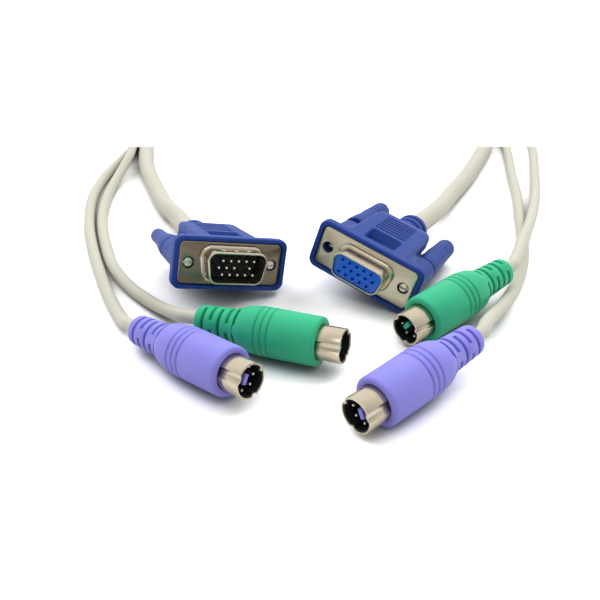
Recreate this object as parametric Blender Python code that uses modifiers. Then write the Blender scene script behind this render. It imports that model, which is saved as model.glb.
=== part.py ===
"""Keyboard, video and mouse cable: three cords with a video connector and two round plugs at each end.

Metres, +Z up. The ends lie on the table at z = 0, fanned out towards -Y, and the spare cord lies
behind them in one tied coil. Every connector is modelled along its own axis: the mating end looks
along -Y, the cord leaves along +Y, and an empty then turns the connector to the way it lies.
"""

import math

import bmesh
import bpy
from mathutils import Matrix, Vector

# Clearances
FIT_GAP = 0.0003
PIN_GAP = 0.00015
SINK = 0.0005

# Video connectors: flange plate, mating shell and contacts
FLANGE_HEIGHT = 0.0125
FLANGE_CORNER = 0.0016
FLANGE_THICKNESS = 0.0008
FLANGE_PAST_SCREW = 0.002905
SCREW_PAST_SHELL = 0.003195
SCREW_RADIUS = 0.00142
SCREW_TIP = 0.0002
SCREW_CHAMFER = 0.0003
SHELL_SLANT = math.radians(10)
MATING_GAP = 0.00025
PLUG_SHELL_WIDTH = 0.0186
PLUG_SHELL_HEIGHT = 0.0093
PLUG_SHELL_REACH = 0.0059
SOCKET_SHELL_REACH = 0.0061
SHELL_CORNER = 0.0026
SHELL_WALL = 0.0005
SHELL_ROOT = 0.0009
CONTACT_PITCH = 0.00229
CONTACT_ROW = 0.00198
CONTACTS_IN_ROW = 5
PIN_RADIUS = 0.00038
PIN_REACH = 0.0049
PIN_SEAT = 0.0012
SOCKET_HOLE_RADIUS = 0.0005
SOCKET_HOLE_DEPTH = 0.0014
PLUG_INSULATOR_FACE = 0.0004
SOCKET_INSULATOR_FACE = -0.0057
INSULATOR_REAR = 0.0030

# Video hood: front frame, body, grips, screw guides and ringed cord collar
FRAME_SIDE = 0.0016
FRAME_LIP = 0.00145
FRAME_CORNER = 0.0026
FRAME_PROUD = 0.0005
FRAME_DEPTH = 0.0026
FRAME_ROUNDING = 0.0005
BODY_PAST_SCREW = 0.002995
BODY_UNDER_FRAME = 0.0007
BODY_CORNER = 0.0014
BODY_SHOULDER = 0.0230
BODY_REAR = 0.0290
SHOULDER_CORNER = 0.0030
SHOULDER_DRAFT = 0.0021
GUIDE_RADIUS = 0.0041
GUIDE_REAR = 0.0155
GUIDE_DRAFT = 0.0003
PANEL_WIDTH = 0.0100
PANEL_DEPTH = 0.0009
PANEL_FRONT = 0.0036
PANEL_REAR = 0.0108
PANEL_CORNER = 0.0012
RIB_FRONT = 0.0126
RIB_PITCH = 0.00165
RIB_GROOVES = 7
RIB_GROOVE_WIDTH = 0.00085
RIB_GROOVE_DEPTH = 0.0006
RIB_LENGTH = 0.0096
COLLAR_RADIUS = 0.0053
COLLAR_REAR = 0.0385
COLLAR_ROOT = 0.0035
COLLAR_RINGS = 3
COLLAR_GROOVE = 0.0006
CORD_SOCKET_DEPTH = 0.0020

# Thumbscrews
SMOOTH_KNOB_LENGTH = 0.0188
RIBBED_KNOB_LENGTH = 0.0218
KNOB_FRONT_RADIUS = 0.0038
KNOB_EDGE = 0.0003
KNOB_ROUNDING = 0.0012
SMOOTH_KNOB_RADIUS = 0.0024
RIBBED_KNOB_RADIUS = 0.0030
KNOB_FLUTES = 12
FLUTE_RADIUS = 0.00045
FLUTE_LENGTH = 0.0095
SCREW_SEAT = 0.0060
SCREW_SLOT = 0.0006
PULLED_BACK = 0.0025

# Round plugs: overmoulded boot, shell, insulator and key
BOOT_RADIUS = 0.0065
BOOT_FRONT_ROUNDING = 0.0008
BOOT_BODY_LENGTH = 0.0183
BOOT_SHOULDER_LENGTH = 0.0062
BOOT_LENGTH = 0.0352
BOOT_RINGS = 3
BOOT_RING_PITCH = 0.0018
BOOT_RING_WIDTH = 0.0006
BOOT_RING_DEPTH = 0.00035
RELIEF_FRONT_RADIUS = 0.0045
RELIEF_REAR_RADIUS = 0.0040
RELIEF_ROUNDING = 0.0010
RELIEF_CORE = 0.0018
SLOT_STATIONS = 5
SLOT_PITCH = 0.00247
SLOT_WIDTH = 0.0010
END_COLLAR = 0.0022
PLUG_SHELL_RADIUS = 0.0045
PLUG_SHELL_WALL = 0.00045
PLUG_SHELL_EXPOSED = 0.0062
PLUG_SHELL_SEAT = 0.0025
KEYWAY_DEPTH = 0.0006
KEYWAY_ANGLES = (0.0, 128.0, 232.0)
KEYWAY_SPANS = (30.0, 20.0, 20.0)
ROUND_INSULATOR_FACE = 0.0048
ROUND_PIN_RADIUS = 0.0005
ROUND_PIN_REACH = 0.0034
ROUND_PIN_PLACES = ((0.0013, -0.0026), (0.0030, -0.0004), (0.0021, 0.0023))
KEY_WIDTH = 0.0026
KEY_THICKNESS = 0.0012
KEY_OFFSET = 0.0007
KEY_REACH = 0.0038
KEY_SEAT = 0.0012

# Cords and their coil
VIDEO_CORD_RADIUS = 0.00325
SLIM_CORD_RADIUS = 0.00185
COIL_CENTRE = (0.0012, 0.2555)
COIL_MEAN_RADIUS = 0.047
COIL_COLUMNS = 2
COIL_LAYERS = 3
TIE_THICKNESS = 0.0008
TIE_CORNER = 0.0012
CORD_GAP = 0.0001
TIE_WIDTH = 0.0060

# Facets
ARC_STEPS = 3
ROUND_STEPS = 15
SMALL_STEPS = 6
FLAT_ANGLE = math.radians(0.1)

# How the ends lie on the table: x, y of the flange centre or shell front, then yaw, tilt and roll
VIDEO_PLUG_LIES = (-0.0269, 0.0118, 24.6, 9.5, -13.0)
VIDEO_SOCKET_LIES = (0.0113, 0.0109, -28.7, 4.5, -16.5)
KEYBOARD_LEFT_LIES = (-0.0183, -0.0397, 48.6, 3.8, 60.0)
MOUSE_LEFT_LIES = (0.0040, -0.0245, 65.9, 3.0, 72.0)
KEYBOARD_RIGHT_LIES = (0.0050, -0.0497, -48.2, -3.6, -68.0)
MOUSE_RIGHT_LIES = (0.0203, -0.0133, -49.7, -5.0, 55.0)

# Routes that the cords take over the table, from the end of each connector to the coil
VIDEO_LEFT_ROUTE = (
    (-0.0506, 0.0650, 0.0048), (-0.0562, 0.0760, 0.0040), (-0.0633, 0.0959, 0.0033),
    (-0.0711, 0.1205, 0.0033), (-0.0762, 0.1475, 0.0033), (-0.0778, 0.1625, 0.0033),
    (-0.0733, 0.1775, 0.0033), (-0.0633, 0.1925, 0.0034), (-0.0534, 0.2075, 0.0039),
)
KEYBOARD_LEFT_ROUTE = (
    (-0.0559, -0.0030, 0.0026), (-0.0626, 0.0108, 0.0019), (-0.0693, 0.0271, 0.0019),
    (-0.0759, 0.0452, 0.0019), (-0.0818, 0.0649, 0.0019), (-0.0865, 0.0889, 0.0019),
    (-0.0874, 0.1122, 0.0019), (-0.0848, 0.1355, 0.0019), (-0.0828, 0.1525, 0.0019),
    (-0.0829, 0.1655, 0.0019), (-0.0783, 0.1800, 0.0019), (-0.0679, 0.1957, 0.0020),
    (-0.0588, 0.2104, 0.0025), (-0.0547, 0.2225, 0.0029),
)
MOUSE_LEFT_ROUTE = (
    (-0.0423, -0.0008, 0.0036), (-0.0496, 0.0069, 0.0025), (-0.0584, 0.0180, 0.0019),
    (-0.0659, 0.0311, 0.0019), (-0.0714, 0.0457, 0.0019), (-0.0765, 0.0623, 0.0019),
    (-0.0797, 0.0779, 0.0019), (-0.0814, 0.0963, 0.0022), (-0.0808, 0.1165, 0.0037),
    (-0.0803, 0.1335, 0.0054), (-0.0823, 0.1525, 0.0058), (-0.0828, 0.1655, 0.0058),
    (-0.0782, 0.1800, 0.0058), (-0.0678, 0.1957, 0.0059), (-0.0588, 0.2104, 0.0064),
    (-0.0547, 0.2225, 0.0067),
)
VIDEO_RIGHT_ROUTE = (
    (0.0389, 0.0615, 0.0070), (0.0436, 0.0720, 0.0055), (0.0497, 0.0868, 0.0040),
    (0.0598, 0.1080, 0.0033), (0.0694, 0.1305, 0.0033), (0.0760, 0.1475, 0.0033),
    (0.0789, 0.1595, 0.0034), (0.0777, 0.1725, 0.0049), (0.0719, 0.1845, 0.0086),
    (0.0636, 0.1965, 0.0134), (0.0557, 0.2090, 0.0175),
)
KEYBOARD_RIGHT_ROUTE = (
    (0.0414, -0.0130, 0.0078), (0.0494, 0.0010, 0.0052), (0.0561, 0.0145, 0.0031),
    (0.0625, 0.0302, 0.0019), (0.0664, 0.0435, 0.0019), (0.0701, 0.0602, 0.0019),
    (0.0728, 0.0735, 0.0019), (0.0768, 0.0928, 0.0019), (0.0811, 0.1191, 0.0019),
    (0.0864, 0.1475, 0.0019), (0.0876, 0.1605, 0.0020), (0.0842, 0.1740, 0.0034),
    (0.0776, 0.1870, 0.0073), (0.0688, 0.1995, 0.0122), (0.0610, 0.2120, 0.0161),
    (0.0572, 0.2235, 0.0176),
)
MOUSE_RIGHT_ROUTE = (
    (0.0594, 0.0265, 0.0088), (0.0629, 0.0355, 0.0078), (0.0666, 0.0445, 0.0067),
    (0.0709, 0.0550, 0.0059), (0.0776, 0.0733, 0.0038), (0.0851, 0.0969, 0.0021),
    (0.0930, 0.1273, 0.0019), (0.0982, 0.1485, 0.0019), (0.0999, 0.1615, 0.0020),
    (0.0969, 0.1735, 0.0037), (0.0889, 0.1865, 0.0087), (0.0784, 0.1985, 0.0147),
    (0.0680, 0.2100, 0.0191), (0.0598, 0.2215, 0.0212),
)
EXIT_RUN = 0.004
TUBE_PITCH = 2.9

# Sizes that follow from the ones above
SCREW_PLACE = PLUG_SHELL_WIDTH / 2 + SCREW_PAST_SHELL
SCREW_HOLE_RADIUS = SCREW_RADIUS + FIT_GAP
SOCKET_SHELL_WIDTH = PLUG_SHELL_WIDTH - 2 * (SHELL_WALL + MATING_GAP)
SOCKET_SHELL_HEIGHT = PLUG_SHELL_HEIGHT - 2 * (SHELL_WALL + MATING_GAP)
FLANGE_WIDTH = 2 * (SCREW_PLACE + FLANGE_PAST_SCREW)
FLANGE_POCKET = FLANGE_THICKNESS + FIT_GAP
FRAME_WIDTH = FLANGE_WIDTH + 2 * FRAME_SIDE
FRAME_HEIGHT = FLANGE_HEIGHT + 2 * FRAME_LIP
BODY_WIDTH = 2 * (SCREW_PLACE - BODY_PAST_SCREW)
BODY_HEIGHT = FRAME_HEIGHT - 2 * BODY_UNDER_FRAME
GUIDE_REACH = SCREW_PLACE + GUIDE_RADIUS
KNOB_CHANNEL_RADIUS = KNOB_FRONT_RADIUS + 2 * FIT_GAP
SOCKET_RADIUS_VIDEO = VIDEO_CORD_RADIUS + FIT_GAP
SOCKET_RADIUS_SLIM = SLIM_CORD_RADIUS + FIT_GAP
BOOT_FRONT = PLUG_SHELL_EXPOSED
BOOT_REAR = BOOT_FRONT + BOOT_LENGTH
SHELL_REAR = BOOT_FRONT + PLUG_SHELL_SEAT
CELL_WIDTH = 2 * (VIDEO_CORD_RADIUS + SLIM_CORD_RADIUS)
CELL_HEIGHT = 4 * SLIM_CORD_RADIUS
COIL_HALF_WIDTH = COIL_COLUMNS * CELL_WIDTH / 2
VIDEO_LANE = COIL_MEAN_RADIUS + CELL_WIDTH / 2 - SLIM_CORD_RADIUS
SLIM_LANE = COIL_MEAN_RADIUS + CELL_WIDTH / 2 + VIDEO_CORD_RADIUS
COIL_INNER = COIL_MEAN_RADIUS - COIL_HALF_WIDTH
COIL_OUTER = COIL_MEAN_RADIUS + COIL_HALF_WIDTH
COIL_BOTTOM = TIE_THICKNESS + FIT_GAP
COIL_TOP = COIL_BOTTOM + COIL_LAYERS * CELL_HEIGHT
COIL_STEP = COIL_TOP - CELL_HEIGHT

# Colours as linear red, green and blue, with roughness and metallic values
FINISHES = {
    "blue_moulding": ((0.058, 0.105, 0.423), 0.42, 0.0),
    "purple_moulding": ((0.323, 0.305, 0.913), 0.45, 0.0),
    "green_moulding": ((0.063, 0.552, 0.275), 0.45, 0.0),
    "nickel": ((0.70, 0.66, 0.56), 0.28, 1.0),
    "steel": ((0.62, 0.60, 0.55), 0.32, 1.0),
    "gold": ((0.80, 0.62, 0.28), 0.25, 1.0),
    "black_insulator": ((0.012, 0.014, 0.012), 0.5, 0.0),
    "blue_insulator": ((0.012, 0.06, 0.32), 0.45, 0.0),
    "cord_sheath": ((0.66, 0.62, 0.51), 0.5, 0.0),
    "tie_band": ((0.75, 0.75, 0.73), 0.5, 0.0),
}


def clear_scene():
    for old in list(bpy.data.objects):
        bpy.data.objects.remove(old)


def finish(name):
    """The material of this name, made on first use."""
    if name in bpy.data.materials:
        return bpy.data.materials[name]
    colour, roughness, metallic = FINISHES[name]
    made = bpy.data.materials.new(name)
    made.use_nodes = True
    shader = made.node_tree.nodes["Principled BSDF"]
    shader.inputs["Base Color"].default_value = (*colour, 1.0)
    shader.inputs["Roughness"].default_value = roughness
    shader.inputs["Metallic"].default_value = metallic
    return made


def collection():
    """The collection that holds the cable's pieces."""
    name = "kvm_cable"
    if name not in bpy.data.collections:
        bpy.context.scene.collection.children.link(bpy.data.collections.new(name))
    return bpy.data.collections[name]


# Outlines, as points in a plane

def rounded_outline(corners, radius, steps=ARC_STEPS):
    """A convex outline, its corners given anticlockwise and rounded by one radius."""
    outline = []
    for i, corner in enumerate(corners):
        here = Vector(corner)
        before = (Vector(corners[i - 1]) - here).normalized()
        after = (Vector(corners[(i + 1) % len(corners)]) - here).normalized()
        half = before.angle(after) / 2
        centre = here + (before + after).normalized() * radius / math.sin(half)
        first = here + before * radius / math.tan(half) - centre
        turn = math.pi - 2 * half
        for step in range(steps + 1):
            outline.append(centre + Matrix.Rotation(turn * step / steps, 2) @ first)
    return outline


def rectangle(width, height, corner, steps=ARC_STEPS):
    x, z = width / 2, height / 2
    return rounded_outline([(x, z), (-x, z), (-x, -z), (x, -z)], corner, steps)


def d_outline(width, height, grow=0.0):
    """The slanted outline of a mating shell, wide side up, grown by an offset on every side."""
    slant = math.tan(SHELL_SLANT)
    side = grow / math.cos(SHELL_SLANT)
    top = width / 2 + side + grow * slant
    bottom = width / 2 - height * slant + side - grow * slant
    z = height / 2 + grow
    corners = [(top, z), (-top, z), (-bottom, -z), (bottom, -z)]
    return rounded_outline(corners, SHELL_CORNER + grow)


# Solids

def add_object(name, mesh):
    made = bpy.data.objects.new(name, mesh)
    collection().objects.link(made)
    return made


def bake(shape):
    """Replaces an object's data by its evaluated mesh, closed and facing out."""
    bpy.context.view_layer.update()
    source = shape.evaluated_get(bpy.context.evaluated_depsgraph_get())
    mesh = bpy.data.meshes.new_from_object(source)
    work = bmesh.new()
    work.from_mesh(mesh)
    bmesh.ops.remove_doubles(work, verts=work.verts, dist=1e-6)
    bmesh.ops.dissolve_limit(work, angle_limit=FLAT_ANGLE, verts=work.verts, edges=work.edges)
    bmesh.ops.recalc_face_normals(work, faces=work.faces)
    work.to_mesh(mesh)
    work.free()
    if shape.type == "CURVE":
        solid = add_object(shape.name, mesh)
        solid.matrix_world = shape.matrix_world
        bpy.data.objects.remove(shape)
        return solid
    shape.modifiers.clear()
    shape.data = mesh
    return shape


def prism(name, outline, front, back):
    """A flat outline in X and Z, given thickness from y = front to y = back."""
    curve = bpy.data.curves.new(name, "CURVE")
    curve.dimensions = "2D"
    curve.fill_mode = "BOTH"
    curve.extrude = (back - front) / 2
    spline = curve.splines.new("POLY")
    spline.points.add(len(outline) - 1)
    for point, place in zip(spline.points, outline):
        point.co = (place[0], place[1], 0.0, 1.0)
    spline.use_cyclic_u = True
    shape = add_object(name, curve)
    upright = Matrix.Rotation(math.pi / 2, 4, "X")
    shape.matrix_world = Matrix.Translation((0, (front + back) / 2, 0)) @ upright
    return settle(bake(shape))


def settle(shape):
    """Moves an object's placement into its mesh."""
    shape.data.transform(shape.matrix_world)
    shape.matrix_world = Matrix.Identity(4)
    return shape


def loft(name, sections):
    """A solid through outlines of equal count, each given as (y, outline)."""
    work = bmesh.new()
    rings = [[work.verts.new((p[0], y, p[1])) for p in outline] for y, outline in sections]
    for ring, following in zip(rings, rings[1:]):
        for i in range(len(ring)):
            work.faces.new((ring[i - 1], ring[i], following[i], following[i - 1]))
    work.faces.new(rings[0])
    work.faces.new(rings[-1])
    bmesh.ops.recalc_face_normals(work, faces=work.faces)
    mesh = bpy.data.meshes.new(name)
    work.to_mesh(mesh)
    work.free()
    return add_object(name, mesh)


def turned(name, profile, steps=ROUND_STEPS):
    """A profile of (radius, y) turned round the Y axis."""
    mesh = bpy.data.meshes.new(name)
    points = [(radius, y, 0.0) for radius, y in profile]
    mesh.from_pydata(points, [(i, i + 1) for i in range(len(points) - 1)], [])
    shape = add_object(name, mesh)
    turn = shape.modifiers.new("Turn", "SCREW")
    turn.axis = "Y"
    turn.steps = steps
    turn.render_steps = steps
    turn.use_merge_vertices = True
    turn.merge_threshold = 1e-6
    return bake(shape)


def rod(name, radius, front, back, place=(0.0, 0.0), steps=SMALL_STEPS):
    """A plain cylinder along Y, its axis at x and z."""
    shape = turned(name, [(0, front), (radius, front), (radius, back), (0, back)], steps)
    shape.location = (place[0], 0, place[1])
    bpy.context.view_layer.update()
    return settle(shape)


def box(name, low, high):
    """A box between two corners."""
    work = bmesh.new()
    bmesh.ops.create_cube(work, size=1.0)
    size = Vector(high) - Vector(low)
    bmesh.ops.scale(work, vec=size, verts=work.verts)
    bmesh.ops.translate(work, vec=(Vector(high) + Vector(low)) / 2, verts=work.verts)
    mesh = bpy.data.meshes.new(name)
    work.to_mesh(mesh)
    work.free()
    return add_object(name, mesh)


def together(name, shapes):
    """One mesh holding several separate solids, for use as a single cutter."""
    work = bmesh.new()
    for shape in shapes:
        work.from_mesh(shape.data)
        bpy.data.objects.remove(shape)
    mesh = bpy.data.meshes.new(name)
    work.to_mesh(mesh)
    work.free()
    return add_object(name, mesh)


def combine(shape, tool, operation):
    step = shape.modifiers.new("Combine", "BOOLEAN")
    step.operation = operation
    step.object = tool
    bake(shape)
    bpy.data.objects.remove(tool)
    return shape


def cut(shape, tool):
    return combine(shape, tool, "DIFFERENCE")


def join(shape, tool):
    return combine(shape, tool, "UNION")


def smooth(shape, angle=math.radians(35)):
    shape.data.shade_smooth()
    shape.data.set_sharp_from_angle(angle=angle)
    return shape


# Places

def empty(name, matrix, parent=None):
    holder = bpy.data.objects.new(name, None)
    holder.empty_display_size = 0.01
    collection().objects.link(holder)
    holder.parent = parent
    holder.matrix_basis = matrix
    return holder


def put(shape, name, material, holder):
    """Names a finished piece, gives it its material and hangs it on its connector's empty."""
    shape.name = name
    shape.data.name = name
    shape.data.materials.clear()
    shape.data.materials.append(finish(material))
    shape.parent = holder
    return smooth(shape)


def copy_of(shape):
    twin = add_object(shape.name, shape.data.copy())
    return twin


def turned_frame(yaw, tilt, roll):
    """Yaw about Z, then the mating end tipped up, then rolled about the connector's own axis."""
    spin = Matrix.Rotation(math.radians(yaw), 4, "Z")
    tip = Matrix.Rotation(-math.radians(tilt), 4, "X")
    lean = Matrix.Rotation(-math.radians(roll), 4, "Y")
    return spin @ tip @ lean


def lying(lies, contacts):
    """The matrix of a connector that lies with its lowest contact point on the table."""
    x, y, yaw, tilt, roll = lies
    turn = turned_frame(yaw, tilt, roll)
    lowest = min((turn @ Vector(place)).z - reach for place, reach in contacts)
    return Matrix.Translation((x, y, -lowest)) @ turn


# Video connectors

def build_shell(width, height, reach, wall):
    """Flange plate and mating shell, drawn from one sheet."""
    shell = prism("shell", rectangle(FLANGE_WIDTH, FLANGE_HEIGHT, FLANGE_CORNER), 0, FLANGE_THICKNESS)
    root = SHELL_ROOT
    stack = [
        (FLANGE_THICKNESS / 2, root), (-root * 0.3, root), (-root * 0.8, root * 0.6),
        (-root * 1.4, 0.0), (-reach + wall * 0.6, 0.0), (-reach, -wall * 0.5),
    ]
    tube = loft("tube", [(y, d_outline(width, height, grow)) for y, grow in stack])
    join(shell, tube)
    bore = prism("bore", d_outline(width, height, -wall), -reach - SINK, FLANGE_THICKNESS + SINK)
    cut(shell, bore)
    holes = [
        rod("hole", SCREW_HOLE_RADIUS, -SINK, FLANGE_THICKNESS + SINK, (side * SCREW_PLACE, 0), 12)
        for side in (-1, 1)
    ]
    return cut(shell, together("holes", holes))


def contact_places(mirror, missing=None):
    """Three rows of contacts, the middle one shifted by half a pitch."""
    places = []
    for row in (1, 0, -1):
        shift = mirror * CONTACT_PITCH / 4 * (1 if row else -1)
        for i in range(CONTACTS_IN_ROW):
            if (row, i) == missing:
                continue
            x = (i - (CONTACTS_IN_ROW - 1) / 2) * CONTACT_PITCH + shift
            places.append((x, row * CONTACT_ROW))
    return places


def build_insulator(width, height, wall, face, holes, radius, depth):
    inside = -(wall + FIT_GAP)
    body = prism("insulator", d_outline(width, height, inside), face, INSULATOR_REAR)
    drills = [rod("drill", radius, face - SINK, face + depth, place) for place in holes]
    return cut(body, together("drills", drills))


def build_pin():
    seat = PLUG_INSULATOR_FACE + PIN_SEAT
    tip = -PIN_REACH
    nose = PIN_RADIUS * 0.6
    return turned("pin", [
        (0, tip), (PIN_RADIUS * 0.5, tip), (PIN_RADIUS, tip + nose), (PIN_RADIUS, seat), (0, seat),
    ], SMALL_STEPS)


def rib_grooves(side):
    """Grooves across one broad face of the hood, and the sunk panel in front of them."""
    top = BODY_HEIGHT / 2
    cutters = []
    for i in range(RIB_GROOVES):
        front = RIB_FRONT + i * RIB_PITCH
        floor = (top - RIB_GROOVE_DEPTH) * side
        roof = (top + SINK) * side
        cutters.append(box(
            "groove",
            (-RIB_LENGTH / 2, front, min(floor, roof)),
            (RIB_LENGTH / 2, front + RIB_GROOVE_WIDTH, max(floor, roof)),
        ))
    middle = (PANEL_FRONT + PANEL_REAR) / 2
    panel = prism(
        "panel", rectangle(PANEL_WIDTH, PANEL_REAR - PANEL_FRONT, PANEL_CORNER, 3),
        -PANEL_DEPTH, SINK,
    )
    flat = Matrix.Rotation(-math.pi / 2 * side, 4, "X")
    panel.matrix_world = Matrix.Translation((0, middle, top * side)) @ flat
    cutters.append(settle(panel))
    return cutters


def collar_profile():
    """The ringed collar at the cord's exit, closed on the axis at both ends."""
    start = BODY_REAR - COLLAR_ROOT
    ring = (COLLAR_REAR - BODY_REAR) / COLLAR_RINGS
    groove = COLLAR_RADIUS - COLLAR_GROOVE
    profile = [(0, start), (COLLAR_RADIUS, start)]
    for i in range(COLLAR_RINGS):
        rear = BODY_REAR + (i + 1) * ring
        last = i == COLLAR_RINGS - 1
        profile.append((COLLAR_RADIUS, rear - ring * 0.4))
        if not last:
            profile += [(groove, rear - ring * 0.3), (groove, rear), (COLLAR_RADIUS, rear + ring * 0.1)]
    socket = COLLAR_REAR - CORD_SOCKET_DEPTH
    profile += [
        (COLLAR_RADIUS - COLLAR_GROOVE, COLLAR_REAR), (SOCKET_RADIUS_VIDEO, COLLAR_REAR),
        (SOCKET_RADIUS_VIDEO, socket), (0, socket),
    ]
    return profile


def build_hood():
    """The overmoulded hood: frame, body, screw guides and collar in one piece."""
    def frame_section(y, inset):
        return y, rectangle(FRAME_WIDTH - 2 * inset, FRAME_HEIGHT - 2 * inset, FRAME_CORNER - inset)

    def body_section(y, width, height):
        return y, rectangle(BODY_WIDTH * width, BODY_HEIGHT * height, BODY_CORNER)

    hood = loft("hood", [
        frame_section(-FRAME_PROUD, FRAME_ROUNDING),
        frame_section(-FRAME_PROUD + FRAME_ROUNDING, 0.0),
        frame_section(FRAME_DEPTH - FRAME_ROUNDING, 0.0),
        frame_section(FRAME_DEPTH, FRAME_ROUNDING),
    ])
    rear_run = BODY_REAR - BODY_SHOULDER
    body = loft("body", [
        body_section(FRAME_DEPTH - SINK, 1.06, 1.0),
        body_section(BODY_SHOULDER, 0.98, 1.0),
        body_section(BODY_SHOULDER + rear_run * 0.5, 0.90, 0.93),
        body_section(BODY_SHOULDER + rear_run * 0.85, 0.76, 0.82),
        body_section(BODY_REAR, 0.60, 0.70),
    ])
    width, height = 2 * GUIDE_REACH, 2 * GUIDE_RADIUS
    guides = loft("guides", [
        (FRAME_DEPTH - SINK, rectangle(width, height, GUIDE_RADIUS * 0.98)),
        (GUIDE_REAR, rectangle(width - 2 * GUIDE_DRAFT, height - 2 * GUIDE_DRAFT, GUIDE_RADIUS * 0.9)),
    ])

    def shoulder_section(y, drafts, share):
        across = FLANGE_WIDTH - SHOULDER_CORNER - 2 * drafts * SHOULDER_DRAFT
        return y, rectangle(across, BODY_HEIGHT * share, SHOULDER_CORNER)

    shoulder = loft("shoulder", [
        shoulder_section(FRAME_DEPTH - SINK, 0, 0.93),
        shoulder_section(GUIDE_REAR * 0.62, 1, 0.88),
        shoulder_section(GUIDE_REAR, 2.2, 0.80),
    ])
    for part in (body, guides, shoulder, turned("collar", collar_profile(), 14)):
        join(hood, part)
    pocket = rectangle(FLANGE_WIDTH + 2 * FIT_GAP, FLANGE_HEIGHT + 2 * FIT_GAP, FLANGE_CORNER + FIT_GAP)
    cut(hood, prism("pocket", pocket, -FRAME_PROUD - SINK, FLANGE_POCKET))
    cut(hood, together("grips", rib_grooves(1) + rib_grooves(-1)))
    for side in (-1, 1):
        place = (side * SCREW_PLACE, 0)
        cut(hood, rod("channel", KNOB_CHANNEL_RADIUS, GUIDE_REAR, BODY_REAR + SINK, place, 16))
        cut(hood, rod("bore", SCREW_HOLE_RADIUS, FLANGE_POCKET - SINK, GUIDE_REAR + SINK, place, 10))
    return hood


def insulator_pocket(hood, width, height, wall):
    """The hollow in the hood that the insulator's rear end fills."""
    outline = d_outline(width, height, -wall)
    return cut(hood, prism("hollow", outline, FLANGE_POCKET - SINK, INSULATOR_REAR + FIT_GAP))


def knob_profile(end_radius, tip):
    """From the screw's seat over the front edge to the tip, where the axis closes it."""
    seat = SCREW_SEAT + FIT_GAP
    bore = SCREW_RADIUS + FIT_GAP
    return [
        (0, seat), (bore, seat), (bore, 0),
        (KNOB_FRONT_RADIUS - KNOB_EDGE, 0), (KNOB_FRONT_RADIUS, KNOB_EDGE),
        (KNOB_FRONT_RADIUS * 0.97, tip * 0.2), (end_radius * 1.12, tip * 0.52),
        (end_radius, tip - KNOB_ROUNDING), (end_radius * 0.72, tip), (0, tip),
    ]


def build_knob(ribbed):
    """A moulded thumb grip, its front face at y = 0."""
    radius = RIBBED_KNOB_RADIUS if ribbed else SMOOTH_KNOB_RADIUS
    length = RIBBED_KNOB_LENGTH if ribbed else SMOOTH_KNOB_LENGTH
    knob = turned("knob", knob_profile(radius, length), KNOB_FLUTES if ribbed else 14)
    if not ribbed:
        return knob
    flutes = []
    for i in range(KNOB_FLUTES):
        angle = 2 * math.pi * (i + 0.5) / KNOB_FLUTES
        reach = radius * math.cos(math.pi / KNOB_FLUTES) + FLUTE_RADIUS * 0.5
        place = (reach * math.cos(angle), -reach * math.sin(angle))
        flutes.append(rod("flute", FLUTE_RADIUS, length - FLUTE_LENGTH, length + SINK, place, 4))
    return cut(knob, together("flutes", flutes))


def build_screw(tip):
    """A machine screw from its seat in the knob to its slotted tip at y = tip."""
    seat = SCREW_SEAT
    screw = turned("screw", [
        (0, tip), (SCREW_RADIUS * 0.8, tip), (SCREW_RADIUS, tip + SCREW_CHAMFER),
        (SCREW_RADIUS, seat), (0, seat),
    ], 12)
    slot = box(
        "slot", (-SCREW_RADIUS - SINK, tip - SINK, -SCREW_SLOT / 2),
        (SCREW_RADIUS + SINK, tip + SCREW_SLOT, SCREW_SLOT / 2),
    )
    return cut(screw, slot)


def add_thumbscrew(label, side, holder, ribbed, pulled):
    """Knob and screw on an empty that stands on the screw's axis."""
    front = GUIDE_REAR + FIT_GAP + pulled
    hub = empty(f"{label}_axis", Matrix.Translation((side * SCREW_PLACE, front, 0)), holder)
    put(build_knob(ribbed), f"{label}_knob", "blue_moulding", hub)
    put(build_screw(SCREW_TIP + pulled - front), f"{label}_screw", "steel", hub)


def video_contacts():
    """Points of a video connector that may touch the table, each with its radius."""
    places = [((0, COLLAR_REAR, 0), COLLAR_RADIUS)]
    x, z = FRAME_WIDTH / 2 - FRAME_CORNER, FRAME_HEIGHT / 2 - FRAME_CORNER
    for side in (-1, 1):
        places.append(((side * x, FRAME_DEPTH - FRAME_ROUNDING, -z), FRAME_CORNER))
        edge = BODY_WIDTH / 2 - BODY_CORNER
        places.append(((side * edge, BODY_SHOULDER, BODY_CORNER - BODY_HEIGHT / 2), BODY_CORNER))
        places.append(((side * SCREW_PLACE, GUIDE_REAR + RIBBED_KNOB_LENGTH, 0), RIBBED_KNOB_RADIUS))
    return places


def add_video_plug(hood):
    holder = empty("video_plug_frame", lying(VIDEO_PLUG_LIES, video_contacts()))
    sizes = (PLUG_SHELL_WIDTH, PLUG_SHELL_HEIGHT)
    put(insulator_pocket(hood, *sizes, SHELL_WALL), "video_plug_hood", "blue_moulding", holder)
    put(build_shell(*sizes, PLUG_SHELL_REACH, SHELL_WALL), "video_plug_shell", "nickel", holder)
    places = contact_places(1, missing=(0, 3))
    insulator = build_insulator(
        *sizes, SHELL_WALL, PLUG_INSULATOR_FACE, places, PIN_RADIUS + PIN_GAP, PIN_SEAT + PIN_GAP)
    put(insulator, "video_plug_insulator", "black_insulator", holder)
    pin = build_pin()
    for i, place in enumerate(places):
        twin = put(copy_of(pin), f"video_plug_pin_{i + 1:02d}", "gold", holder)
        twin.location = (place[0], 0, place[1])
    bpy.data.objects.remove(pin)
    add_thumbscrew("video_plug_left", -1, holder, False, 0.0)
    add_thumbscrew("video_plug_right", 1, holder, False, 0.0)
    return holder


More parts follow.
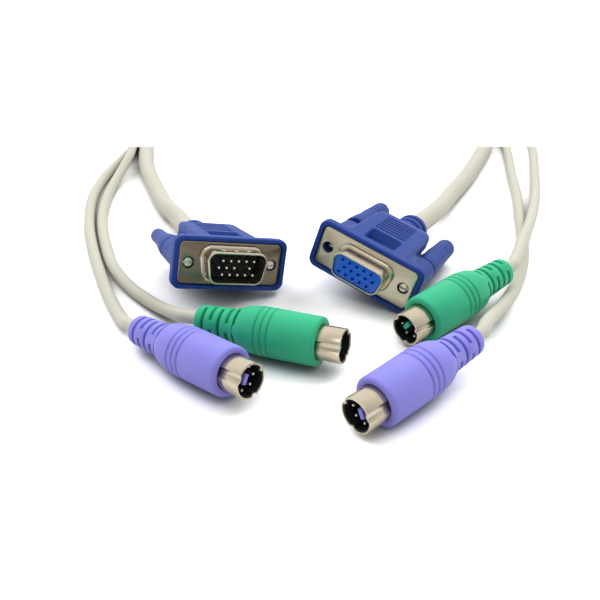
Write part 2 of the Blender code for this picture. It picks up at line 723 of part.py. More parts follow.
def add_video_socket(hood):
    holder = empty("video_socket_frame", lying(VIDEO_SOCKET_LIES, video_contacts()))
    sizes = (SOCKET_SHELL_WIDTH, SOCKET_SHELL_HEIGHT)
    put(insulator_pocket(hood, *sizes, SHELL_WALL), "video_socket_hood", "blue_moulding", holder)
    put(build_shell(*sizes, SOCKET_SHELL_REACH, SHELL_WALL), "video_socket_shell", "nickel", holder)
    insulator = build_insulator(
        *sizes, SHELL_WALL, SOCKET_INSULATOR_FACE, contact_places(-1), SOCKET_HOLE_RADIUS, SOCKET_HOLE_DEPTH)
    put(insulator, "video_socket_insulator", "blue_insulator", holder)
    add_thumbscrew("video_socket_left", -1, holder, True, PULLED_BACK)
    add_thumbscrew("video_socket_right", 1, holder, True, 0.0)
    return holder


# Round plugs

def boot_profile():
    """The boot's outer form from its front pocket to its cord socket."""
    front, rear = BOOT_FRONT, BOOT_REAR
    pocket = PLUG_SHELL_RADIUS + FIT_GAP
    bottom = SHELL_REAR + FIT_GAP
    body_end = front + BOOT_BODY_LENGTH
    relief = body_end + BOOT_SHOULDER_LENGTH
    rounding = BOOT_FRONT_ROUNDING
    profile = [
        (0, bottom), (pocket, bottom), (pocket, front), (BOOT_RADIUS * 0.98 - rounding, front),
        (BOOT_RADIUS * 0.98 - rounding * 0.25, front + rounding * 0.3),
        (BOOT_RADIUS * 0.98, front + rounding),
    ]
    first = body_end - BOOT_RINGS * BOOT_RING_PITCH - BOOT_RING_WIDTH
    for i in range(BOOT_RINGS):
        y = first + i * BOOT_RING_PITCH
        profile += [
            (BOOT_RADIUS, y), (BOOT_RADIUS - BOOT_RING_DEPTH, y + BOOT_RING_WIDTH / 2),
            (BOOT_RADIUS, y + BOOT_RING_WIDTH),
        ]
    profile += [
        (BOOT_RADIUS * 0.97, body_end), (BOOT_RADIUS * 0.91, body_end + BOOT_SHOULDER_LENGTH * 0.42),
        (RELIEF_FRONT_RADIUS * 1.08, relief - BOOT_SHOULDER_LENGTH * 0.16),
        (RELIEF_REAR_RADIUS, rear - RELIEF_ROUNDING), (RELIEF_REAR_RADIUS * 0.86, rear),
        (SOCKET_RADIUS_SLIM, rear), (SOCKET_RADIUS_SLIM, rear - CORD_SOCKET_DEPTH),
        (0, rear - CORD_SOCKET_DEPTH),
    ]
    return profile


def build_boot():
    """The turned boot with the slots of its strain relief cut in from alternate sides."""
    boot = turned("boot", boot_profile())
    reach = RELIEF_FRONT_RADIUS + SINK
    slots = []
    for i in range(SLOT_STATIONS):
        rear = BOOT_REAR - END_COLLAR - i * SLOT_PITCH
        y0, y1 = rear - SLOT_WIDTH, rear
        for side in (-1, 1):
            near, far = sorted((side * RELIEF_CORE, side * reach))
            if i % 2 == 0:
                slots.append(box("slot", (-reach, y0, near), (reach, y1, far)))
            else:
                slots.append(box("slot", (near, y0, -reach), (far, y1, reach)))
    return cut(boot, together("slots", slots))


def keyed_radius(radius, angle):
    """The shell's radius at an angle: round, with pressed-in keyways."""
    dip = 0.0
    for middle, span in zip(KEYWAY_ANGLES, KEYWAY_SPANS):
        off = abs((angle - middle + 180) % 360 - 180)
        if off < span / 2:
            dip = max(dip, math.cos(math.pi * off / span) ** 0.5)
    return radius - KEYWAY_DEPTH * dip


def keyed_outline(radius, count=30):
    outline = []
    for i in range(count):
        angle = 360 * i / count
        reach = keyed_radius(radius, angle)
        outline.append((reach * math.sin(math.radians(angle)), reach * math.cos(math.radians(angle))))
    return outline


def build_round_shell():
    """A pressed sheet tube, open at both ends."""
    shell = prism("round_shell", keyed_outline(PLUG_SHELL_RADIUS), 0, SHELL_REAR)
    bore = prism("bore", keyed_outline(PLUG_SHELL_RADIUS - PLUG_SHELL_WALL), -SINK, SHELL_REAR + SINK)
    return cut(shell, bore)


def build_round_insulator():
    """Insulator and its six pins, with the pocket that the key stands in."""
    radius = PLUG_SHELL_RADIUS - PLUG_SHELL_WALL - FIT_GAP
    face = ROUND_INSULATOR_FACE
    body = prism("round_insulator", keyed_outline(radius, 20), face, SHELL_REAR)
    half = KEY_WIDTH / 2 + PIN_GAP
    low = KEY_OFFSET - KEY_THICKNESS / 2 - PIN_GAP
    high = KEY_OFFSET + KEY_THICKNESS / 2 + PIN_GAP
    cut(body, box("key_pocket", (-half, face - SINK, low), (half, face + KEY_SEAT + PIN_GAP, high)))
    tip = face - ROUND_PIN_REACH
    for x, z in ROUND_PIN_PLACES:
        for side in (-1, 1):
            pin = turned("pin", [
                (0, tip), (ROUND_PIN_RADIUS * 0.6, tip), (ROUND_PIN_RADIUS, tip + ROUND_PIN_RADIUS * 0.6),
                (ROUND_PIN_RADIUS, face + SINK), (0, face + SINK),
            ], SMALL_STEPS)
            pin.location = (side * x, 0, z)
            bpy.context.view_layer.update()
            join(body, settle(pin))
    return body


def build_key():
    face = ROUND_INSULATOR_FACE
    return box(
        "key", (-KEY_WIDTH / 2, face - KEY_REACH, KEY_OFFSET - KEY_THICKNESS / 2),
        (KEY_WIDTH / 2, face + KEY_SEAT, KEY_OFFSET + KEY_THICKNESS / 2),
    )


def boot_contacts():
    """Points on a boot's axis that may carry it on the table, each with its radius."""
    rim = BOOT_RADIUS * 0.98
    return [
        ((0, BOOT_FRONT + BOOT_FRONT_ROUNDING, 0), rim),
        ((0, BOOT_FRONT + BOOT_BODY_LENGTH - BOOT_RING_WIDTH, 0), BOOT_RADIUS),
        ((0, BOOT_REAR, 0), RELIEF_REAR_RADIUS),
    ]


def add_round_plug(label, lies, colour, pieces):
    holder = empty(f"{label}_frame", lying(lies, boot_contacts()))
    boot, shell, insulator, key = pieces
    put(copy_of(boot), f"{label}_boot", colour, holder)
    put(copy_of(shell), f"{label}_shell", "nickel", holder)
    put(copy_of(insulator), f"{label}_insulator", "black_insulator", holder)
    put(copy_of(key), f"{label}_key", colour, holder)
    return holder


# Cords

def smooth_points(lead, points, spacing):
    """Points along a Catmull-Rom curve through the route, a set distance apart, after its lead."""
    places = [Vector(p) for p in points]
    padded = [lead] + places + [2 * places[-1] - places[-2]]
    dense = []
    for a, b, c, d in zip(padded, padded[1:], padded[2:], padded[3:]):
        for step in range(12):
            t = step / 12
            dense.append(0.5 * (2 * b + (c - a) * t + (2 * a - 5 * b + 4 * c - d) * t ** 2
                                + (3 * b - a - 3 * c + d) * t ** 3))
    dense.append(places[-1])
    length = sum((q - p).length for p, q in zip(dense, dense[1:]))
    count = max(2, round(length / spacing))
    chosen, run, target = [dense[0]], 0.0, length / count
    for p, q in zip(dense, dense[1:]):
        step = (q - p).length
        while run + step >= target and len(chosen) < count:
            chosen.append(p.lerp(q, (target - run) / step))
            target += length / count
        run += step
    chosen.append(dense[-1])
    return chosen


def coil_end(side, lane, radius, height):
    """Where a cord that joins the coil on one of its lanes meets the coil's outer wall."""
    reach = COIL_OUTER + FIT_GAP
    back = math.sqrt(reach ** 2 - (lane - radius) ** 2)
    return Vector((COIL_CENTRE[0] + side * lane, COIL_CENTRE[1] - back, height))


def add_cord(name, holder, rear, radius, route, end):
    """A plain tube from a connector's cord socket along its route to the coil."""
    frame = holder.matrix_basis
    start = frame @ Vector((0, rear - CORD_SOCKET_DEPTH + FIT_GAP, 0))
    straight = frame @ Vector((0, rear + EXIT_RUN, 0))
    points = [start] + smooth_points(start, [straight, *route, end], TUBE_PITCH * 2 * radius)
    curve = bpy.data.curves.new(name, "CURVE")
    curve.dimensions = "3D"
    curve.bevel_depth = radius
    curve.bevel_resolution = 2
    curve.use_fill_caps = True
    spline = curve.splines.new("POLY")
    spline.points.add(len(points) - 1)
    for point, place in zip(spline.points, points):
        point.co = (*place, 1.0)
    tube = add_object(name, curve)
    curve.materials.append(finish("cord_sheath"))
    return tube


def add_coil():
    """The wound turns as one turned ring, lower on its inner side, and the band that ties them."""
    inner, outer, low, top, step = COIL_INNER, COIL_OUTER, COIL_BOTTOM, COIL_TOP, COIL_STEP
    soft = SLIM_CORD_RADIUS * 0.6
    middle = COIL_MEAN_RADIUS
    profile = [
        (inner, low + soft), (inner, step - soft), (inner + soft, step), (middle - soft, step),
        (middle, top - soft), (middle + soft, top), (outer - soft, top), (outer, top - soft),
        (outer, low + soft), (outer - soft, low), (inner + soft, low), (inner, low + soft),
    ]
    ring = turned("ring", profile, 26)
    upright = Matrix.Translation((*COIL_CENTRE, 0)) @ Matrix.Rotation(math.pi / 2, 4, "X")
    holder = empty("coil_frame", upright)
    put(ring, "cord_coil", "cord_sheath", holder)
    gap = FIT_GAP
    thick = TIE_THICKNESS
    rounding = TIE_CORNER
    low_in, top_in = COIL_BOTTOM - gap, COIL_TOP + gap
    inside = (COIL_HALF_WIDTH + gap) * 2
    section = rectangle(inside + 2 * thick, top_in - low_in + 2 * thick, rounding + thick, 2)
    hole = rectangle(inside, top_in - low_in, rounding, 2)
    band = prism("band", section, -TIE_WIDTH / 2, TIE_WIDTH / 2)
    cut(band, prism("band_hole", hole, -TIE_WIDTH, TIE_WIDTH))
    raise_to = Matrix.Translation((0, 0, (low_in + top_in) / 2))
    band.data.transform(raise_to)
    across = Matrix.Translation((COIL_CENTRE[0], COIL_CENTRE[1] + COIL_MEAN_RADIUS, 0))
    spun = empty("tie_frame", across @ Matrix.Rotation(math.pi / 2, 4, "Z"))
    put(band, "coil_tie", "tie_band", spun)


def build_cable():
    hood = build_hood()
    plug = add_video_plug(copy_of(hood))
    socket = add_video_socket(copy_of(hood))
    bpy.data.objects.remove(hood)
    pieces = (build_boot(), build_round_shell(), build_round_insulator(), build_key())
    ends = {
        "keyboard_left": add_round_plug("keyboard_left", KEYBOARD_LEFT_LIES, "purple_moulding", pieces),
        "mouse_left": add_round_plug("mouse_left", MOUSE_LEFT_LIES, "green_moulding", pieces),
        "keyboard_right": add_round_plug("keyboard_right", KEYBOARD_RIGHT_LIES, "purple_moulding", pieces),
        "mouse_right": add_round_plug("mouse_right", MOUSE_RIGHT_LIES, "green_moulding", pieces),
    }
    for piece in pieces:
        bpy.data.objects.remove(piece)
    bpy.context.view_layer.update()
    slim, video = SLIM_CORD_RADIUS, VIDEO_CORD_RADIUS
    low = COIL_BOTTOM
    high = COIL_BOTTOM + (COIL_LAYERS - 1) * CELL_HEIGHT
    pair = 3 * slim + CORD_GAP
    routes = [
        ("video_cord_left", plug, VIDEO_LEFT_ROUTE, coil_end(-1, VIDEO_LANE, video, low + video)),
        ("video_cord_right", socket, VIDEO_RIGHT_ROUTE, coil_end(1, VIDEO_LANE, video, high + video)),
    ]
    for name, holder, route, end in routes:
        add_cord(name, holder, COLLAR_REAR, video, route, end)
    routes = [
        ("keyboard_left", KEYBOARD_LEFT_ROUTE, coil_end(-1, SLIM_LANE, slim, low + slim)),
        ("mouse_left", MOUSE_LEFT_ROUTE, coil_end(-1, SLIM_LANE, slim, low + pair)),
        ("keyboard_right", KEYBOARD_RIGHT_ROUTE, coil_end(1, SLIM_LANE, slim, high + slim)),
        ("mouse_right", MOUSE_RIGHT_ROUTE, coil_end(1, SLIM_LANE, slim, high + pair)),
    ]
    for label, route, end in routes:
        add_cord(f"{label}_cord", ends[label], BOOT_REAR, slim, route, end)
    add_coil()


clear_scene()
build_cable()
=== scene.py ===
"""Looks of the keyboard, video and mouse cable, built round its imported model. Metres, +Z up."""

import math

import bmesh
import bpy
from mathutils import Matrix, Vector


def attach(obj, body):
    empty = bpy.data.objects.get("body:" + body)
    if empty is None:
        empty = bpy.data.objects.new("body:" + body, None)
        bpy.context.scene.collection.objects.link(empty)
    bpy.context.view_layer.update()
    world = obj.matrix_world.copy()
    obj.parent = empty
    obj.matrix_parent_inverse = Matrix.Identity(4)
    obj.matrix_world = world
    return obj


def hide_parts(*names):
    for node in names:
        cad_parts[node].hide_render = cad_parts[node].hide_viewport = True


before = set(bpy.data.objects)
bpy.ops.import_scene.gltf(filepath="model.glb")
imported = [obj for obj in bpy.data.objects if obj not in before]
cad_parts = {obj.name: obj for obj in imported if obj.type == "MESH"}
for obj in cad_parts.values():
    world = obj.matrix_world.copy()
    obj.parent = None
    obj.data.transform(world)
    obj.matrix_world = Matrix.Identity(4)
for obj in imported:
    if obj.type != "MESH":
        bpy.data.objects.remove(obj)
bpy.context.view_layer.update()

# How the connectors lie: x, y, z of the flange centre or shell front, then yaw, tilt and roll
VIDEO_PLUG = (-0.0269, 0.0118, 0.01237, 24.6, 9.5, -13.0)
VIDEO_SOCKET = (0.0113, 0.0109, 0.01172, -28.7, 4.5, -16.5)
KEYBOARD_LEFT = (-0.0183, -0.0397, 0.00808, 48.6, 3.8, 60.0)
MOUSE_LEFT = (0.0040, -0.0245, 0.00775, 65.9, 3.0, 72.0)
KEYBOARD_RIGHT = (0.0050, -0.0497, 0.00593, -48.2, -3.6, -68.0)
MOUSE_RIGHT = (0.0203, -0.0133, 0.00576, -49.7, -5.0, 55.0)

# Clearances, and how far a cutter or a joined form runs past a face
FIT_GAP = 0.0003
FINE_GAP = 0.0001
SINK = 0.0005

# Video connectors: a flange is width, height and corner, and a shell is width, height and reach
FLANGE = (0.0308, 0.0125, 0.0016)
FLANGE_THICKNESS = 0.0008
FLANGE_CHAMFER = 0.00028
SCREW_PLACE = 0.012495
SCREW_RADIUS = 0.00142
SCREW_HOLE_RADIUS = 0.00172
SHELL_SLANT = math.radians(10)
SHELL_CORNER = 0.0026
SHELL_ROOT = 0.0009
ROOT_STEPS = 8
ROOT_FLARE = 1.4
SHELL_WALL = 0.0005
PLUG_SHELL = (0.0186, 0.0093, 0.0059)
SOCKET_SHELL = (0.0171, 0.0078, 0.0061)
DIMPLE_RADIUS = 0.0009
DIMPLE_DEPTH = 0.00035
DIMPLE_PLACES = (-0.0037, 0.0, 0.0037)
SIDE_DIMPLES = (-0.0024, 0.0024)
CONTACT_PITCH = 0.00229
CONTACT_ROW = 0.00198
CONTACTS_IN_ROW = 5
PIN_RADIUS = 0.00038
PIN_REACH = 0.0049
PIN_REAR = 0.0016
PIN_NOSE = PIN_RADIUS * 0.7
SOCKET_HOLE_RADIUS = 0.0005
SOCKET_HOLE_DEPTH = 0.0014
PIN_HOLE_DEPTH = 0.0012
HOLE_RIM_WIDTH = 0.00028
HOLE_RIM_HEIGHT = 0.00015
PLUG_INSULATOR_FACE = 0.0004
SOCKET_INSULATOR_FACE = -0.0056
INSULATOR_REAR = 0.003

# Video hood: front frame, body, screw guides, shoulder and ringed collar
FRAME_SIZE = (0.0340, 0.0154, 0.0026)
FRAME_PROUD = 0.0005
FRAME_DEPTH = 0.0026
FRAME_EDGE = 0.0004
BODY_WIDTH = 0.0190
BODY_HEIGHT = 0.0140
BODY_CORNER = 0.0014
BODY_FRONT_SHARE = 1.06
BODY_SHOULDER = 0.0230
BODY_REAR = 0.0290
BODY_TAPER = ((0, 0.98, 1.0), (0.25, 0.95, 0.985), (0.5, 0.90, 0.94), (0.72, 0.83, 0.88), (0.88, 0.75, 0.81))
BODY_REAR_SHARES = (0.62, 0.71)
GUIDE_RADIUS = 0.0041
GUIDE_REAR = 0.0155
GUIDE_DRAFT = 0.0006
SHOULDER_CORNER = 0.0030
SHOULDER_MIDDLE = GUIDE_REAR * 0.62
SHOULDER_SIZES = ((0.0278, 0.93), (0.0236, 0.88), (0.01856, 0.80))
CHANNEL_GAP = 0.0006
MOULDING_VOXEL = 0.00024
COLLAR_RADIUS = 0.0053
COLLAR_REAR = 0.0385
COLLAR_ROOT = 0.0035
COLLAR_RINGS = 3
COLLAR_GROOVE = 0.0006
CORD_SOCKET_DEPTH = 0.002

# Grips on the hood's two broad faces: fine grooves, and a scoop that is deepest at its front
RIB_GROOVES = 7
RIB_FRONT = 0.0126
RIB_PITCH = 0.00165
RIB_GROOVE_WIDTH = 0.00085
RIB_GROOVE_DEPTH = 0.0007
RIB_ENDS = (-0.0050, 0.0048)
SCOOP = (0.0100, 0.0076, 0.0012)
SCOOP_SPAN = (-0.0006, 0.0020)
SCOOP_PLACE = 0.0073
SCOOP_TILT = math.radians(8.5)

# Thumbscrews: a knob is its length and its end's radius
SMOOTH_KNOB = (0.0188, 0.0024)
RIBBED_KNOB = (0.0218, 0.0030)
KNOB_FRONT_RADIUS = 0.0038
KNOB_EDGE = 0.0003
KNOB_FLUTES = 18
FLUTE_RADIUS = 0.00036
FLUTE_PROUD = 0.00015
FLUTE_LENGTH = 0.0095
SCREW_SEAT = 0.006
SCREW_TIP = 0.0002
SCREW_CHAMFER = 0.00035
SCREW_SLOT_DEPTH = 0.0006
SCREW_SLOT_HALF_WIDTH = 0.0003
SCREW_SLOT_REACH = 0.002
PULLED_BACK = 0.0025

# Round plugs: boot, shell with its keyways, a black sleeve of painted shade inside the shell, insulator,
# pins and key
BOOT_FRONT = 0.0062
BOOT_REAR = 0.0414
BOOT_RADIUS = 0.0065
BOOT_ROUNDING = 0.0008
BOOT_LIP = 0.0002
BOOT_SHOULDER = (
    (0.98, 0.0238), (0.965, 0.0247), (0.935, 0.0262), (0.89, 0.0274), (0.83, 0.0283), (0.775, 0.0291),
    (0.735, 0.0299),
)
RELIEF_FRONT = 0.0308
RELIEF_FRONT_RADIUS = 0.0045
RELIEF_REAR_RADIUS = 0.0040
RELIEF_CORE = 0.0012
RELIEF_END = ((1.0, 0.0011), (0.97, 0.0005), (0.9, 0.0001), (0.84, 0))
RING_PLACES = (0.0185, 0.0203, 0.0221)
RING_GROOVE = ((0, 0), (0.00015, 0.00024), (0.0003, 0.00035), (0.00045, 0.00024), (0.0006, 0))
SLOT_PLACES = (0.02882, 0.03129, 0.03376, 0.03623, 0.0387)
SLOT_WIDTH = 0.0010
ROUND_SHELL_RADIUS = 0.0045
ROUND_SHELL_WALL = 0.00045
ROUND_SHELL_REAR = 0.0087
ROUND_INSULATOR_FACE = 0.0048
KEYWAYS = ((0, 30), (128, 20), (232, 20))
KEYWAY_DEPTH = 0.0006
# A black sleeve inside each round shell: painted shade, darkening the shell's inner wall
SHADE_SLEEVE_FRONT = 0.0003
SHADE_SLEEVE_GAP = 0.00002
SHADE_SLEEVE_WALL = 0.00028
ROUND_PINS = ((0.0013, -0.0026), (0.0030, -0.0004), (0.0021, 0.0023))
ROUND_PIN_RADIUS = 0.0005
ROUND_PIN_REACH = 0.0030
ROUND_PIN_NOSE = ((0.00025, 0.00005), (0.00042, 0.0002), (0.0005, 0.0004))
KEY = (0.0026, 0.0012, 0.0007)
KEY_REACH = 0.0038
KEY_SEAT = 0.0012

# Cords, their coil and its tie
VIDEO_CORD_RADIUS = 0.00325
SLIM_CORD_RADIUS = 0.00185
CORD_GAP = 0.0001
COIL_CENTRE = (0.0012, 0.2555)
COIL_MEAN_RADIUS = 0.047
COIL_TURNS = 4.5
COIL_BOTTOM = 0.0011
CELL_WIDTH = 2 * (VIDEO_CORD_RADIUS + SLIM_CORD_RADIUS)
CELL_HEIGHT = 4 * SLIM_CORD_RADIUS
CORD_SEAT = 0.0018
CORD_LEAD = 0.004
CORD_SPACING = 0.003
TIE_THICKNESS = 0.0008
TIE_HALF_WIDTH = 0.003
TIE_CORNER = 0.0020
TIE_INNER_CORNER = 0.0012
TIE_LAP = 0.0125
TIE_LAP_SHIFT = 0.0018
TIE_ROUNDING = 0.00025

# Floor's tone to the camera, painted shade by ambient occlusion: darkest in the hollows under the
# connectors, over 1 in the open
PAINTED_SHADE_REACH = 0.028
PAINTED_SHADE_RANGE = (0.14, 0.56)
PAINTED_SHADE_TONES = (0.30, 1.20)
FLOOR_AS_REFLECTOR = (0.66, 0.66, 0.65)
FLOOR_IN_REFLECTIONS = (0.80, 0.80, 0.80)
FLOOR_REACH = 3

# Light and camera
SKY_COLOUR = (1.15, 1.15, 1.15)
SKY_SPAN = (-0.9, 0.6)
SKY_STRENGTH = (0.45, 1.0)
SIDE_LIGHT = (0.62, 0.38, 0.68)
SIDE_LIGHT_ENERGY = 1.5
SIDE_LIGHT_ANGLE = math.radians(40)
SOFTBOX_SIZE = (0.26, 0.07)
SOFTBOX_ENERGY = 0.16
SOFTBOX_PLACE = (0.0, -0.20, 0.36)
SOFTBOX_TILT = math.radians(30)
CAMERA_PLACE = (-0.0071, -0.1793, 0.1073)
CAMERA_TILT = math.radians(60.82)
CAMERA_LENS = 44.78
SENSOR_WIDTH = 36
CLIP_START = 0.01

# The white card before the lens, in the camera's own axes: half width, lower edge, upper edge and reach
CARD = (0.0130, 0.00615, 0.0130, 0.030)


# Materials

def add_node(tree, kind, **settings):
    """A new node with its settings."""
    node = tree.nodes.new(kind)
    for key, value in settings.items():
        setattr(node, key, value)
    return node


def noise(tree, scale, detail=3.0, stretch=(1, 1, 1)):
    """Noise in the object's own coordinates, in features per metre."""
    place = add_node(tree, "ShaderNodeTexCoord")
    mapping = add_node(tree, "ShaderNodeMapping")
    mapping.inputs["Scale"].default_value = stretch
    tree.links.new(place.outputs["Object"], mapping.inputs["Vector"])
    texture = add_node(tree, "ShaderNodeTexNoise")
    texture.inputs["Scale"].default_value = scale
    texture.inputs["Detail"].default_value = detail
    tree.links.new(mapping.outputs["Vector"], texture.inputs["Vector"])
    return texture.outputs["Fac"]


def mixed(tree, factor, first, second):
    """A colour between two colours or links."""
    mix = add_node(tree, "ShaderNodeMix", data_type="RGBA")
    tree.links.new(factor, mix.inputs["Factor"])
    for socket, given in zip(mix.inputs[6:8], (first, second)):
        if isinstance(given, tuple):
            socket.default_value = (*given, 1)
        else:
            tree.links.new(given, socket)
    return mix.outputs[2]


def ranged(tree, value, source, target, kind="LINEAR"):
    """A value carried from one range to another."""
    span = add_node(tree, "ShaderNodeMapRange", interpolation_type=kind)
    tree.links.new(value, span.inputs["Value"])
    for name, number in zip(("From Min", "From Max", "To Min", "To Max"), (*source, *target)):
        span.inputs[name].default_value = number
    return span.outputs["Result"]


def surface(name, dark, light, roughness, metallic=0.0, cloud=160, grain=2600, bump=0.05,
            stretch=(1, 1, 1), gloss=0.3):
    """A finish with slow colour clouds, uneven gloss and a fine grain."""
    made = bpy.data.materials.new(name)
    made.use_nodes = True
    tree = made.node_tree
    shader = tree.nodes["Principled BSDF"]
    shader.inputs["Metallic"].default_value = metallic
    shader.inputs["Specular IOR Level"].default_value = 0.5 if metallic else gloss
    clouds = noise(tree, cloud)
    fine = noise(tree, grain, 4.0, stretch)
    tree.links.new(mixed(tree, clouds, dark, light), shader.inputs["Base Color"])
    tree.links.new(ranged(tree, clouds, (0.3, 0.7), roughness), shader.inputs["Roughness"])
    relief = add_node(tree, "ShaderNodeBump")
    relief.inputs["Strength"].default_value = bump
    relief.inputs["Distance"].default_value = 0.0001
    tree.links.new(fine, relief.inputs["Height"])
    tree.links.new(relief.outputs["Normal"], shader.inputs["Normal"])
    return made


BLUE = surface("blue_moulding", (0.004, 0.033, 0.225), (0.008, 0.046, 0.280), (0.40, 0.50), bump=0.12)
PURPLE = surface("purple_moulding", (0.225, 0.212, 0.66), (0.250, 0.236, 0.72), (0.42, 0.52), bump=0.1)
GREEN = surface("green_moulding", (0.022, 0.400, 0.195), (0.031, 0.455, 0.232), (0.40, 0.50), bump=0.1)
BLACK = surface("black_insulator", (0.004, 0.005, 0.005), (0.009, 0.010, 0.010), (0.36, 0.5), bump=0.1)
BLUE_INSERT = surface(
    "blue_insulator", (0.006, 0.105, 0.60), (0.010, 0.145, 0.76), (0.26, 0.38), bump=0.1, gloss=0.5)
SHEATH = surface(
    "cord_sheath", (0.470, 0.460, 0.375), (0.535, 0.520, 0.435), (0.40, 0.52), bump=0.1, cloud=60)
TIE = surface(
    "tie_band", (0.52, 0.52, 0.50), (0.62, 0.62, 0.60), (0.6, 0.75), cloud=900, grain=3800, bump=0.5)
NICKEL = surface(
    "nickel", (0.55, 0.48, 0.355), (0.71, 0.62, 0.47), (0.20, 0.30),
    metallic=1.0, cloud=240, grain=5200, bump=0.06)
STEEL = surface(
    "steel", (0.60, 0.56, 0.48), (0.76, 0.72, 0.63), (0.2, 0.3),
    metallic=1.0, cloud=300, grain=5200, bump=0.08)
GOLD = surface(
    "gold", (0.86, 0.82, 0.68), (0.96, 0.93, 0.82), (0.18, 0.26),
    metallic=1.0, cloud=400, grain=5200, bump=0.03)

# The flanges' rolled plate: on the plug a dark copy of the metal, painted shade for the dark surroundings
# its front reflects, and light on the socket
PLATE_WITH_PAINTED_SHADE = surface(
    "plate_with_painted_shade", (0.200, 0.158, 0.100), (0.310, 0.255, 0.180), (0.28, 0.38),
    metallic=1.0, cloud=120, grain=4200, bump=0.12, stretch=(1, 1, 6))
LIGHT_PLATE = surface(
    "light_plate", (0.620, 0.550, 0.400), (0.760, 0.690, 0.520), (0.32, 0.44),
    metallic=1.0, cloud=120, grain=4200, bump=0.12, stretch=(1, 1, 6))


# Outlines

def rounded_outline(corners, radius, steps):
    """A closed outline with an arc at every corner."""
    outline = []
    for i, corner in enumerate(corners):
        here = Vector(corner)
        before = (Vector(corners[i - 1]) - here).normalized()
        after = (Vector(corners[(i + 1) % len(corners)]) - here).normalized()
        half = before.angle(after) / 2
        centre = here + (before + after).normalized() * radius / math.sin(half)
        first = here + before * radius / math.tan(half) - centre
        turn = math.pi - 2 * half
        for step in range(steps + 1):
            outline.append(centre + Matrix.Rotation(turn * step / steps, 2) @ first)
    return outline


def rectangle(width, height, corner, steps=8):
    x, z = width / 2, height / 2
    return rounded_outline([(x, z), (-x, z), (-x, -z), (x, -z)], corner, steps)


def d_outline(width, height, grow=0.0, steps=10):
    """The connector's D, wide side up, grown or shrunk by an even margin."""
    slant = math.tan(SHELL_SLANT)
    side = grow / math.cos(SHELL_SLANT)
    top = width / 2 + side + grow * slant
    bottom = width / 2 - height * slant + side - grow * slant
    z = height / 2 + grow
    corners = [(top, z), (-top, z), (-bottom, -z), (bottom, -z)]
    return rounded_outline(corners, SHELL_CORNER + grow, steps)


# Solids, each made along its connector's own axis

def add_object(name, mesh):
    made = bpy.data.objects.new(name, mesh)
    bpy.context.scene.collection.objects.link(made)
    return made


def bake(shape):
    """Applies a shape's modifiers and makes its normals agree."""
    bpy.context.view_layer.update()
    source = shape.evaluated_get(bpy.context.evaluated_depsgraph_get())
    mesh = bpy.data.meshes.new_from_object(source)
    work = bmesh.new()
    work.from_mesh(mesh)
    bmesh.ops.remove_doubles(work, verts=work.verts, dist=1e-7)
    bmesh.ops.recalc_face_normals(work, faces=work.faces)
    work.to_mesh(mesh)
    work.free()
    shape.modifiers.clear()
    shape.data = mesh
    return shape


def loft(name, sections):
    """A solid through outlines of equal count, each given as (y, outline)."""
    work = bmesh.new()
    rings = [[work.verts.new((p[0], y, p[1])) for p in outline] for y, outline in sections]
    for ring, following in zip(rings, rings[1:]):
        for i in range(len(ring)):
            work.faces.new((ring[i - 1], ring[i], following[i], following[i - 1]))
    work.faces.new(rings[0])
    work.faces.new(rings[-1])
    bmesh.ops.recalc_face_normals(work, faces=work.faces)
    mesh = bpy.data.meshes.new(name)
    work.to_mesh(mesh)
    work.free()
    return add_object(name, mesh)


def prism(name, outline, front, back):
    return loft(name, [(front, outline), (back, outline)])


def turned(name, profile, steps=48):
    """A profile of (radius, y) turned round the Y axis."""
    mesh = bpy.data.meshes.new(name)
    points = [(radius, y, 0.0) for radius, y in profile]
    mesh.from_pydata(points, [(i, i + 1) for i in range(len(points) - 1)], [])
    shape = add_object(name, mesh)
    turn = shape.modifiers.new("Turn", "SCREW")
    turn.axis = "Y"
    turn.steps = steps
    turn.render_steps = steps
    turn.use_merge_vertices = True
    turn.merge_threshold = 1e-7
    return bake(shape)


def rod(name, radius, front, back, place=(0.0, 0.0), steps=20):
    shape = turned(name, [(0, front), (radius, front), (radius, back), (0, back)], steps)
    shape.data.transform(Matrix.Translation((place[0], 0, place[1])))
    return shape


def box(name, low, high):
    work = bmesh.new()
    bmesh.ops.create_cube(work, size=1.0)
    bmesh.ops.scale(work, vec=Vector(high) - Vector(low), verts=work.verts)
    bmesh.ops.translate(work, vec=(Vector(high) + Vector(low)) / 2, verts=work.verts)
    mesh = bpy.data.meshes.new(name)
    work.to_mesh(mesh)
    work.free()
    return add_object(name, mesh)


def together(name, shapes):
    """Several shapes as one object, with nothing cut."""
    work = bmesh.new()
    for shape in shapes:
        work.from_mesh(shape.data)
        bpy.data.objects.remove(shape)
    mesh = bpy.data.meshes.new(name)
    work.to_mesh(mesh)
    work.free()
    return add_object(name, mesh)


def combine(shape, tool, operation):
    step = shape.modifiers.new("Combine", "BOOLEAN")
    step.operation = operation
    step.object = tool
    bake(shape)
    bpy.data.objects.remove(tool)
    return shape


def cut(shape, tool):
    return combine(shape, tool, "DIFFERENCE")


def join(shape, tool):
    return combine(shape, tool, "UNION")


def bevel(shape, width, segments=2, angle=35):
    rounding = shape.modifiers.new("Rounding", "BEVEL")
    rounding.width = width
    rounding.segments = segments
    rounding.limit_method = "ANGLE"
    rounding.angle_limit = math.radians(angle)
    return bake(shape)


def melt(shape, voxel, passes=2):
    """One skin over joined forms, its edges rounded as a moulding's are."""
    skin = shape.modifiers.new("Skin", "REMESH")
    skin.mode = "VOXEL"
    skin.voxel_size = voxel
    soft = shape.modifiers.new("Soft", "SMOOTH")
    soft.factor = 0.5
    soft.iterations = passes
    return bake(shape)


def smooth(shape, angle=40):
    shape.data.shade_smooth()
    if angle < 180:
        shape.data.set_sharp_from_angle(angle=math.radians(angle))
    return shape


def copy_of(shape, name):
    return add_object(name, shape.data.copy())


